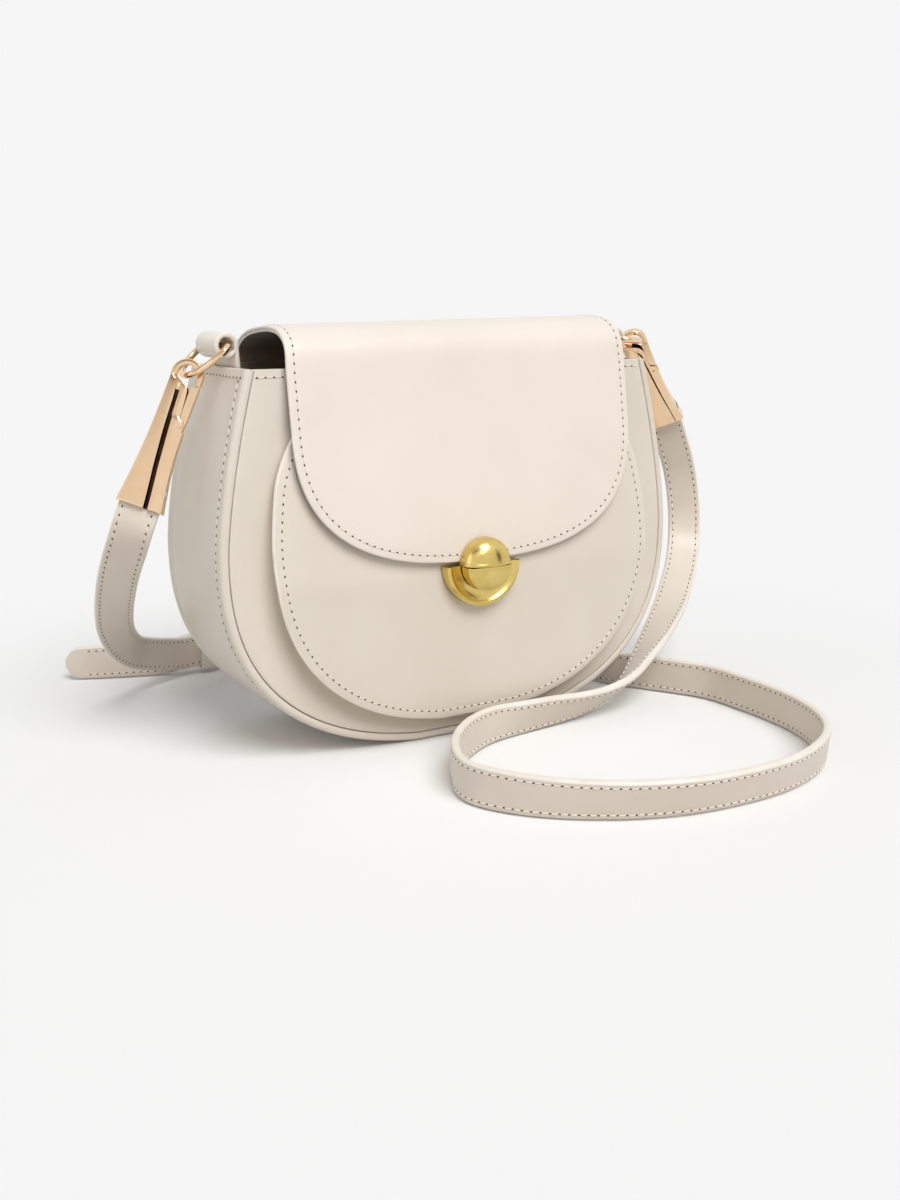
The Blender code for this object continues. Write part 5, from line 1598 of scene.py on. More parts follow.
    def build_housing(self, top_z: float) -> None:
        """The open box behind the plate that holds the shank and its spring.

        Args:
            top_z: height of its open top.
        """
        half, back, low_z = self.housing_half, self.plate_back_y, top_z - self.housing_height
        shape = box_shape((-half, back, low_z), (half, back + self.housing_depth, top_z))
        top = max(shape.faces, key=lambda face: face.calc_center_median().z)
        bmesh.ops.inset_individual(shape, faces=[top], thickness=self.housing_wall)
        moved = bmesh.ops.extrude_discrete_faces(shape, faces=[top])["faces"]
        sunk = list({vert for face in moved for vert in face.verts})
        bmesh.ops.translate(shape, verts=sunk, vec=(0.0, 0.0, -self.housing_well))
        bmesh.ops.recalc_face_normals(shape, faces=shape.faces)
        make_piece("lock_spring_housing", shape, (STEEL,), slot="lock_plate", stands_for=(), bevel_mm=0.15,
                   sharp_deg=30)


# Rings, tabs and snap hooks --------------------


# Down the bell, in millimetres: how far down, left edge, crease, right edge, half thickness, crease depth
BELL_ROWS = (
    (1.3, -5.90, -4.9, -3.7, 1.42, 0.10), (2.1, -5.93, -4.2, -2.6, 1.60, 0.12),
    (3.0, -5.95, -3.2, 0.2, 1.74, 0.16), (4.3, -5.98, -2.6, 2.3, 1.85, 0.22),
    (6.5, -6.00, -2.2, 2.85, 1.96, 0.32), (10.0, -6.02, -1.9, 2.95, 2.10, 0.45),
    (14.0, -6.05, -1.7, 2.95, 2.25, 0.60), (16.0, -6.10, -1.6, 3.2, 2.33, 0.68),
    (17.2, -6.12, -1.5, 5.2, 2.38, 0.73), (18.6, -6.15, -1.4, 5.85, 2.43, 0.78),
    (24.0, -6.35, -0.9, 6.0, 2.65, 1.10), (30.0, -6.70, -0.3, 6.25, 2.90, 1.25),
    (36.0, -7.15, 0.3, 6.7, 3.15, 1.30), (40.5, -7.60, 0.9, 7.2, 3.36, 1.20),
    (42.5, -7.82, 1.15, 7.5, 3.47, 1.20), (46.5, -8.30, 1.65, 8.1, 3.71, 1.40),
    (50.0, -8.75, 2.05, 8.7, 3.93, 1.55), (51.6, -8.95, 2.2, 8.95, 4.04, 1.60),
    (52.0, -8.85, 2.2, 8.85, 3.95, 1.50),
)


@dataclass(frozen=True)
class SideFitting:
    """A leather tab, its D-ring and the snap hook that hangs in it, at one end of the bag."""

    side: Side
    droop_deg: float
    hook_shift: float
    down: Triple
    across: Triple
    centre_x: float = 0.0900
    centre_z: float = 0.1580
    tab_outer: float = 0.0048
    tab_bore: float = 0.0029
    tab_length: float = 0.0205
    tab_neck_x: float = 0.0853
    tab_neck_z: float = 0.1285
    wire: float = 0.00125
    ring_half_width: float = 0.0135
    ring_corner: float = 0.0035
    ring_reach: float = 0.0170
    eye: float = 0.0038
    eye_outer: float = 0.0060
    hook_half_thickness: float = 0.0013
    crease_width: float = 0.0020
    crease_fade: float = 0.2
    crease_shift: float = 0.0
    # from this far down the bell, the crease floor is painted shade
    crease_shade_from: float = 0.0062
    bell_mouth: float = 0.0520
    mouth_half: Flat = (0.00805, 0.00195)
    socket: float = 0.0090
    channel_low: Flat = (-0.0012, -0.0212)
    channel_high: Flat = (0.0095, -0.0020)
    channel_gap: float = 0.0003
    gate_x: float = 0.0040
    gate_pivot: float = 0.0195
    gate_tip: float = 0.0034
    gate_half_width: float = 0.0014
    gate_half_thickness: float = 0.0012

    @property
    def sign(self) -> int:
        """-1 on the left, 1 on the right."""
        return self.side.value

    @property
    def centre(self) -> Vector:
        """Middle of the ring's straight bar."""
        return Vector((self.sign * self.centre_x, 0.0, self.centre_z))

    @property
    def out(self) -> Vector:
        """Direction in which the ring hangs."""
        droop = math.radians(self.droop_deg)
        return Vector((self.sign * math.cos(droop), 0.0, -math.sin(droop)))

    @property
    def hook_at(self) -> Vector:
        """Centre of the ring's wire where the hook hangs.

        Returns:
            The point.
        """
        bow = self.ring_reach - self.ring_corner
        reach = self.ring_corner + bow * math.sqrt(1 - (self.hook_shift / self.ring_half_width) ** 2)
        return self.centre + self.out * reach - Y_AXIS * self.hook_shift

    @property
    def hook_matrix(self) -> Matrix:
        """The hook's own frame: X across it, Z up towards the ring.

        Returns:
            The matrix from that frame to the bag's.
        """
        down = Vector(self.down).normalized()
        across = Vector(self.across)
        across = (across - down * across.dot(down)).normalized()
        turn = Matrix((across, (-down).cross(across), -down)).transposed().to_4x4()
        return Matrix.Translation(self.hook_at) @ turn

    def build(self) -> None:
        """Build and dress the tab, ring and hook."""
        self.build_tab()
        self.build_ring()
        self.build_bell()
        self.build_eye()
        self.build_gate()

    def build_tab(self) -> None:
        """A strip of leather wrapped round the ring's bar, its neck sewn inside the bag."""
        radius = (self.tab_outer + self.tab_bore) / 2
        half = (self.tab_outer - self.tab_bore) / 2
        neck_z = self.tab_neck_z
        line = [Vector((self.tab_neck_x, 0.0, z)) for z in (neck_z, (neck_z + self.centre_z) / 2)]
        for out, up in turns(172.0, -164.0, 28):
            line.append(Vector((self.centre_x + radius * out, 0.0, self.centre_z + radius * up)))
        points = [Vector((self.sign * p.x, 0.0, p.z)) for p in even_steps(smooth_curve(line, 4), 0.9 * MM)]
        outline = soft_box_outline(half, self.tab_length / 2, 0.75 * MM, 4)
        count = len(points)

        def scale(i: int) -> Flat:
            """The neck is narrower than the loop, and the free end is skived thin."""
            return 1.0 - 0.55 * max(0.0, (i - count + 4) / 3), 0.80 + 0.20 * eased(i / (count * 0.35))

        edge = cut_edge(outline, self.tab_length / 2 - 0.9 * MM)
        shape = swept(line_frames(points, Y_AXIS), outline, painted=edge, scale=scale)
        name = self.side.word + "_tab"
        make_piece(name + "_loop", shape, (CALF, EDGE_PAINT), slot=name, sharp_deg=60)

    def build_ring(self) -> None:
        """The D-ring of round wire."""
        corner, bow = self.ring_corner, self.ring_reach - self.ring_corner
        straight = self.ring_half_width - corner
        flat = [(straight * (1 - k / 6), 0.0) for k in range(13)]
        flat += [(-straight - corner * up, corner - corner * out) for out, up in turns(0.0, 90.0, 8)[1:]]
        flat += [(-self.ring_half_width * out, corner + bow * up) for out, up in turns(0.0, 180.0, 40)[1:]]
        flat += [(straight + corner * out, corner - corner * up) for out, up in turns(0.0, 90.0, 8)[1:-1]]
        path = [self.centre + Y_AXIS * u + self.out * v for u, v in flat]
        frames = line_frames(path, Y_AXIS.cross(self.out), closed=True)
        name = self.side.word + "_ring"
        make_piece(name + "_wire", swept(frames, round_outline(self.wire, self.wire, 14), closed=True),
                   (ROSE_GOLD,), name, name, sharp_deg=80)

    def build_bell(self) -> None:
        """The flared bell: one sheet folded over, a deep crease between its broad and its narrow face."""
        rows = smooth_curve([Vector(row[:3]) for row in BELL_ROWS], 3)
        more = smooth_curve([Vector(row[3:]) for row in BELL_ROWS], 3)
        matrix = self.hook_matrix
        columns = []
        for (down, left, crease), (right, thick, groove) in zip(rows, more):
            crease += self.crease_shift / MM * clamped((down - 2.5) / 6)
            slit = min(self.crease_width / MM * (1 - self.crease_fade * down * MM / self.bell_mouth),
                       0.33 * (right - crease))
            outline = self.bell_outline(left, crease, right, thick, groove, slit)
            columns.append([matrix @ (Vector((a, b, -down)) * MM) for a, b in outline])
        last = len(columns[0]) - 2
        # The crease floor lower down the bell takes the second slot: painted shade deep in the crease
        shaded_crease_rows = {row for j in (7, 8, 9) for row in (j, last - j)}
        shape = skin(columns, lambda i, j: j in shaded_crease_rows and rows[i][0] * MM > self.crease_shade_from)
        name = self.side.word + "_snap_hook"
        bell = make_piece(name + "_bell", shape, (ROSE_GOLD, CREASE_SHADE_GOLD), self.side.word + "_hook", name,
                          bevel_mm=0.12, sharp_deg=38)
        (low_x, low_z), (high_x, high_z) = self.channel_low, self.channel_high
        channel = self.gate_half_thickness + self.channel_gap
        carved(bell, box_shape((low_x, -channel, low_z), (high_x, channel, high_z), matrix))
        (half_x, half_y), mouth = self.mouth_half, self.bell_mouth
        low, high = (-half_x, -half_y, -mouth - 1.0 * MM), (half_x, half_y, self.socket - mouth)
        carved(bell, box_shape(low, high, matrix))

    def bell_outline(
        self, left: float, crease: float, right: float, thick: float, groove: float, slit: float
    ) -> list[Flat]:
        """The bell's section in millimetres, the same on both sides of its middle.

        Args:
            left: where the broad face starts.
            crease: where it ends.
            right: where the narrow face ends.
            thick: half the thickness.
            groove: depth of the crease.
            slit: its width.
        Returns:
            (across, over) points.
        """
        broad = crease - left
        face = right - crease - slit
        turn = min(0.16 * face, 0.9)
        half = [
            (left, -thick * 0.35), (left + 0.06 * broad, -thick * 0.80), (left + 0.13 * broad, -thick * 0.96),
            (left + 0.32 * broad, -thick + 0.02), (left + 0.62 * broad, -thick - 0.06),
            (left + 0.88 * broad, -thick + 0.02), (crease - 0.12, -thick + 0.06),
            (crease, -thick + groove * 0.2), (crease + slit * 0.10, -thick + groove),
            (crease + slit * 0.80, -thick + groove),
            (crease + slit * 0.95, -thick + groove * 0.3), (crease + slit, -thick + 0.10),
            (crease + slit + 0.40 * face, -thick + 0.10), (crease + slit + 0.72 * face, -thick + turn * 0.6),
            (right - 0.14 * face, -thick + turn * 1.1), (right - 0.03 * face, -thick + turn * 1.5),
            (right, -thick * 0.35)]
        return half + [(a, -b) for a, b in reversed(half)]

    def build_eye(self) -> None:
        """The bent hook above the bell, of rectangular bar with soft corners."""
        radius, half = (self.eye + self.eye_outer) / 2, (self.eye_outer - self.eye) / 2
        line = [Vector((x * MM, 0.0, z * MM)) for x, z in ((-4.3, -19.0), (-4.4, -12.0), (-4.8, -5.0))]
        line += [Vector((radius * out, 0.0, radius * up)) for out, up in turns(180.0, 0.0, 18)]
        line.append(Vector((radius, 0.0, -self.gate_tip + 0.55 * MM)))
        frames = line_frames(even_steps(smooth_curve(line, 3), 0.7 * MM), Y_AXIS)
        shape = swept(frames, soft_box_outline(half, self.hook_half_thickness, 0.45 * MM, 3))
        bmesh.ops.transform(shape, matrix=self.hook_matrix, verts=shape.verts)
        name = self.side.word + "_snap_hook"
        make_piece(name + "_eye", shape, (ROSE_GOLD,), self.side.word + "_hook", name, bevel_mm=0.15,
                   sharp_deg=50)

    def build_gate(self) -> None:
        """The sprung gate: a flat lever on its pin that meets the hook's tip."""
        x, w, pivot = self.gate_x, self.gate_half_width, self.gate_pivot
        points = [
            (x - w, -pivot - w / 2), (x - w, -self.gate_tip), (x + w * 1.38, -self.gate_tip),
            (x + w * 1.36, -pivot * 0.5), (x + w * 1.28, -pivot * 0.85), (x + w, -pivot - w / 2),
            (x + w / 2, -pivot - w), (x - w / 2, -pivot - w)]
        shape = bmesh.new()
        face = shape.faces.new([shape.verts.new((a, -self.gate_half_thickness, b)) for a, b in points])
        grown = bmesh.ops.extrude_face_region(shape, geom=[face])["geom"]
        moved = [item for item in grown if isinstance(item, bmesh.types.BMVert)]
        bmesh.ops.translate(shape, verts=moved, vec=(0.0, 2 * self.gate_half_thickness, 0.0))
        bmesh.ops.recalc_face_normals(shape, faces=shape.faces)
        bmesh.ops.transform(shape, matrix=self.hook_matrix, verts=shape.verts)
        name = self.side.word + "_hook_gate"
        make_piece(name + "_lever", shape, (ROSE_GOLD,), self.side.word + "_gate", name, bevel_mm=0.3,
                   sharp_deg=25)


# Strap --------------------


@dataclass(frozen=True)
class StrapLeather:
    """The strap's section: two layers glued and sewn, with rolled painted edges."""

    width: float = 0.0155
    thickness: float = 0.0032
    edge_round: float = 0.00075
    seam_in: float = 0.0021
    seam_half: float = 0.00055
    seam_depth: float = 0.00009
    crown: float = 0.00003
    step: float = 0.0026
    painted: frozenset[int] = frozenset((*range(6), *range(15, 21)))

    def outline(self) -> list[Flat]:
        """The section, from the right edge's back round over the front, the left edge and the back.

        Returns:
            (across, over) points.
        """
        half, thick, seam = self.width / 2, self.thickness / 2, self.width / 2 - self.seam_in
        left = [(-seam - self.seam_half, 0.0), (-seam, -self.seam_depth), (-seam + self.seam_half, 0.0),
                (-2.5 * MM, self.crown)]
        face = left + [(-a, b) for a, b in reversed(left)]
        edge = [
            (half - self.edge_round * (1 - out), (thick - 0.05 * MM) * up)
            for out, up in turns(-90.0, 90.0, 6)]
        over = [(-a, thick + b) for a, b in face]
        under = [(a, -thick - b) for a, b in face]
        return edge + over + [(-a, -b) for a, b in edge] + under

    def stations(self, route: Sequence[PathPoint]) -> list[Frame]:
        """Evenly spaced places along a route.

        Args:
            route: (place, across) pairs.
        Returns:
            For each station its place, the direction across the strap and the one out of its face.
        """
        places = smooth_curve([place for place, _ in route], 24)
        widths = smooth_curve([across for _, across in route], 24)
        steps = step_places(places, round(running_lengths(places)[-1] / self.step))
        centres = softened([places[k].lerp(places[k + 1], t) for k, t in steps], 3)
        widths = softened([widths[k].lerp(widths[k + 1], t) for k, t in steps], 3)
        stations = []
        for i, (place, across) in enumerate(zip(centres, widths)):
            along = direction(centres, i)
            across = (across - along * across.dot(along)).normalized()
            stations.append((place, across, along.cross(across)))
        return stations


@dataclass(frozen=True)
class Strap:
    """Both lengths of the strap, each cut where it starts to follow another body."""

    section: StrapLeather
    left: SideFitting
    right: SideFitting
    scale: float = 0.100
    rise: float = 0.0004
    cuts: Triple = (0.0115, 0.046, 0.110)
    tip_round: float = 0.007
    buckle_x: float = -0.026
    buckle_y: float = 0.108
    buckle_z: float = 0.0112
    buckle_length: float = 0.022
    buckle_half: float = 0.0097
    buckle_corner: float = 0.0021
    buckle_wire: float = 0.0013
    prong_loop: float = 0.0020
    prong_wire: Flat = (0.0008, 0.0011)
    eye_radius: float = 0.0029
    keeper_x: float = -0.060
    keeper_length: float = 0.008
    keeper_wall: float = 0.0014
    gap: float = 0.0003
    hanging_short: tuple[tuple[Triple, Triple], ...] = (
        ((-1.286, -0.030, 0.870), (0.83, -0.50, -0.22)), ((-1.287, 0.090, 0.750), (0.86, -0.47, -0.12)),
        ((-1.266, 0.240, 0.630), (0.86, -0.46, 0.00)), ((-1.232, 0.400, 0.512), (0.85, -0.44, 0.12)),
        ((-1.176, 0.580, 0.385), (0.80, -0.38, 0.34)), ((-1.092, 0.740, 0.270), (0.62, -0.22, 0.68)),
        ((-0.980, 0.880, 0.190), (0.30, -0.02, 0.94)),
    )
    hanging_long: tuple[tuple[Triple, Triple], ...] = (
        ((1.465, 0.168, 1.070), (0.74, -0.60, 0.28)), ((1.527, 0.185, 0.945), (0.80, -0.59, 0.10)),
        ((1.558, 0.188, 0.825), (0.82, -0.57, 0.00)), ((1.568, 0.180, 0.700), (0.82, -0.57, -0.06)),
        ((1.545, 0.150, 0.580), (0.82, -0.57, -0.12)), ((1.460, 0.066, 0.475), (0.78, -0.60, -0.15)),
        ((1.300, -0.067, 0.365), (0.66, -0.74, -0.10)), ((1.167, -0.165, 0.295), (0.52, -0.84, 0.10)),
        ((1.029, -0.264, 0.240), (0.32, -0.90, 0.26)), ((0.895, -0.347, 0.185), (0.14, -0.88, 0.44)),
        ((0.752, -0.424, 0.128), (0.00, -0.82, 0.57)), ((0.602, -0.453, 0.090), (0.00, -0.70, 0.71)),
        ((0.462, -0.471, 0.080), (0.00, -0.58, 0.81)), ((0.318, -0.475, 0.079), (0.00, -0.42, 0.91)),
        ((0.160, -0.486, 0.079), (0.00, -0.30, 0.95)),
    )
    loop: tuple[Triple, ...] = (
        (0.002, -0.508, 0.10), (-0.150, -0.590, 0.0), (-0.290, -0.725, 0.0), (-0.380, -0.885, 0.0),
        (-0.402, -1.008, 0.05), (-0.353, -1.127, 0.12), (-0.265, -1.244, 0.22), (-0.149, -1.346, 0.30),
        (0.013, -1.442, 0.34), (0.220, -1.511, 0.36), (0.480, -1.532, 0.36), (0.705, -1.502, 0.30),
        (0.911, -1.412, 0.18), (1.059, -1.271, 0.06), (1.151, -1.062, 0.0), (1.181, -0.860, 0.0),
        (1.182, -0.676, 0.0), (1.166, -0.489, 0.0), (1.082, -0.328, 0.0), (1.006, -0.207, 0.0),
        (0.940, -0.091, 0.0), (0.880, 0.080, 0.0), (0.840, 0.320, 0.0), (0.740, 0.600, 0.0),
        (0.520, 0.850, 0.0), (0.280, 0.990, 0.0),
    )
    tail: tuple[Flat, ...] = ((-0.780, 1.130), (-0.900, 1.160), (-1.060, 1.215), (-1.225, 1.280))

    def start(self, fitting: SideFitting) -> list[PathPoint]:
        """The strap inside its bell and just below it.

        Args:
            fitting: the fitting that it hangs from.
        Returns:
            (place, across) pairs.
        """
        matrix = fitting.hook_matrix
        across = (matrix.to_3x3() @ X_AXIS).normalized()
        mouth = fitting.bell_mouth
        reaches = (mouth - fitting.socket + self.gap, mouth, mouth + 0.006)
        return [(matrix @ (Z_AXIS * -reach), across) for reach in reaches]

    def hanging(self, places: Sequence[tuple[Triple, Triple]]) -> list[PathPoint]:
        """The places of a hanging part as (place, across) pairs."""
        return [(self.scale * Vector(place), Vector(across)) for place, across in places]

    def short_route(self) -> list[PathPoint]:
        """From the left bell down behind the bag to the buckle.

        Returns:
            (place, across) pairs.
        """
        before = self.keeper_x - self.keeper_length
        flat = (
            (before - 0.0066, self.buckle_y - self.section.thickness, self.buckle_z + self.gap),
            (before + self.gap, self.buckle_y - self.gap, self.buckle_z),
            (self.keeper_x, self.buckle_y, self.buckle_z),
            (self.buckle_x - self.eye_radius / 2, self.buckle_y, self.buckle_z))
        lying = [(Vector(place), Z_AXIS) for place in flat]
        return self.start(self.left) + self.hanging(self.hanging_short) + lying

    def long_route(self) -> list[PathPoint]:
        """From the right bell down, round the floor loop, and through the buckle to the tail.

        Returns:
            (place, across) pairs.
        """
        thick = self.section.thickness
        level = self.section.width / 2 + self.rise
        aside = self.buckle_wire + self.gap + thick / 2
        over = self.eye_radius + self.gap + thick / 2
        behind = thick + self.gap
        bar_x, y = self.buckle_x + self.buckle_length, self.buckle_y
        through = (
            (bar_x + aside * 3, y - aside - self.gap), (bar_x + aside, y - aside - self.gap),
            (bar_x - aside / 3, y - aside), (self.buckle_x + self.buckle_length / 2, y + self.gap),
            (self.buckle_x + aside / 2, y + over), (self.buckle_x - aside, y + over),
            (self.buckle_x - aside * 4, y + behind), (self.keeper_x, y + behind),
            (self.keeper_x - self.keeper_length, y + behind))
        route = self.start(self.right) + self.hanging(self.hanging_long)
        for x, y_share, lean in self.loop:
            place = Vector((x * self.scale, y_share * self.scale, level))
            route.append((place, Vector((0.0, -lean, 1.0)).normalized()))
        route += [(Vector((x, place_y, self.buckle_z)), Z_AXIS) for x, place_y in through]
        route += [(Vector((x * self.scale, share * self.scale, level)), Z_AXIS) for x, share in self.tail]
        return route

    def build(self) -> None:
        """Build and dress both lengths, the keeper and the buckle."""
        self.build_length("strap_short", self.short_route(), self.left, False)
        self.build_length("strap_long", self.long_route(), self.right, True)
        self.build_keeper()
        self.build_buckle()
        self.build_prong()

    def build_length(self, node: str, route: Sequence[PathPoint], fitting: SideFitting, tip: bool) -> None:
        """One length, in parts that follow the hook, the ring and the bag.

        Args:
            node: the CAD node that it stands for.
            route: its centre line with the direction of its width.
            fitting: the fitting that it hangs from.
            tip: whether its far end is a rounded free tip.
        """
        stations, step = self.section.stations(route), self.section.step
        last = len(stations) - 1
        hook, ring = fitting.side.word + "_hook", fitting.side.word + "_ring"
        cuts = [0, *(round(cut / step) for cut in self.cuts), last]
        joins = (None, (hook, ring), (ring, "bag"), None)
        for part, (first, end) in enumerate(zip(cuts, cuts[1:])):

            def scale(i: int, first: int = first) -> Flat:
                """The free end is cut round."""
                left = (last - first - i) * step
                if not tip or left > self.tip_round:
                    return 1.0, 1.0
                inward = 1 - max(left, 0.0) / self.tip_round
                return max(math.sqrt(1 - inward**2), 0.22), 1.0 - 0.35 * inward**6

            shape = swept(
                stations[first:end + 1], self.section.outline(), painted=self.section.painted, scale=scale)
            body = {0: hook, 3: "bag"}.get(part)
            # The strap takes the greyer calf: painted shade
            leather = make_piece(
                f"{node}_part_{part + 1}", shape, (SHADED_STRAP_CALF, EDGE_PAINT), body, node, sharp_deg=60)
            sewn_to = end - 3 if tip and end == last else end
            seams = self.seam_lines(stations[first:sewn_to + 1])
            thread = StitchRow().sew(f"{node}_stitches_{part + 1}", seams, body)
            if body is None:
                for piece in (leather, thread):
                    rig.blend(piece, *joins[part], start=stations[first][0], end=stations[end][0])

    def seam_lines(self, stations: Sequence[Frame]) -> list[list[PathPoint]]:
        """Both seams on both faces.

        Args:
            stations: the strap's stations from the first stitch to the last.
        Returns:
            Four lines of (point, outward normal).
        """
        half = self.section.width / 2 - self.section.seam_in
        over = self.section.thickness / 2 - 0.07 * MM
        lines = []
        for face, side in ((1, 1), (1, -1), (-1, 1), (-1, -1)):
            lines.append([
                (place + across * half * side + normal * over * face, normal * face)
                for place, across, normal in stations])
        return lines

    def build_keeper(self) -> None:
        """The leather loop that holds the strap's tail."""
        thick, wall = self.section.thickness, self.keeper_wall
        low_y, high_y = self.buckle_y - thick / 2 - self.gap, self.buckle_y + thick * 1.5 + 2 * self.gap
        half = self.section.width / 2 + self.gap
        middle = Vector((self.keeper_x, (low_y + high_y) / 2, self.buckle_z))
        flat = soft_box_outline((high_y - low_y + wall) / 2, half + wall / 2, 1.0 * MM, 5)
        frames = line_frames([middle + Vector((0.0, a, b)) for a, b in flat], X_AXIS, closed=True)
        outline = soft_box_outline(wall / 2, self.keeper_length / 2, 0.5 * MM, 3)
        painted = cut_edge(outline, self.keeper_length / 2 - 0.6 * MM)
        # The keeper takes the strap's greyer calf: painted shade
        make_piece("strap_keeper_loop", swept(frames, outline, closed=True, painted=painted),
                   (SHADED_STRAP_CALF, EDGE_PAINT), "keeper", "strap_keeper", sharp_deg=60)

    def build_buckle(self) -> None:
        """The buckle's frame, bent of wire."""
        centre = Vector((self.buckle_x + self.buckle_length / 2, self.buckle_y, self.buckle_z))
        flat = soft_box_outline(self.buckle_length / 2, self.buckle_half, self.buckle_corner, 6)
        path = even_steps([centre + Vector((a, 0.0, b)) for a, b in flat + flat[:1]], 1.2 * MM)[:-1]
        wire = round_outline(self.buckle_wire, self.buckle_wire, 14)
        make_piece("buckle_wire_frame", swept(line_frames(path, Y_AXIS, closed=True), wire, closed=True),
                   (ROSE_GOLD,), "bag", "buckle_frame", sharp_deg=80)

    def build_prong(self) -> None:
        """The buckle's prong, looped round its bar and thinned towards its blunt tip."""
        bar = Vector((self.buckle_x, self.buckle_y, self.buckle_z))
        line = [bar + Vector((out, up, 0.0)) * self.prong_loop for out, up in turns(340.0, 35.0, 16)]
        line.append(bar + Vector((6.0 * MM, 1.75 * MM, 0.0)))
        tip_y = self.buckle_wire + self.gap + 0.9 * MM
        line.append(bar + Vector((self.buckle_length * 0.62, tip_y - 0.15 * MM, 0.0)))
        line.append(bar + Vector((self.buckle_length + self.buckle_wire, tip_y, 0.0)))
        frames = line_frames(even_steps(smooth_curve(line, 5), 0.8 * MM), Z_AXIS)
        count = len(frames)

        def scale(i: int) -> Flat:
            """The prong thins to a blunt tip."""
            share = max(0.0, (i - count * 0.75) / (count * 0.25))
            return 1.0 - 0.45 * share**3, 1.0 - 0.45 * share**3

        make_piece("buckle_prong_wire", swept(frames, round_outline(*self.prong_wire, 12), scale=scale),
                   (ROSE_GOLD,), "prong", "buckle_prong", sharp_deg=70)


# Studio --------------------


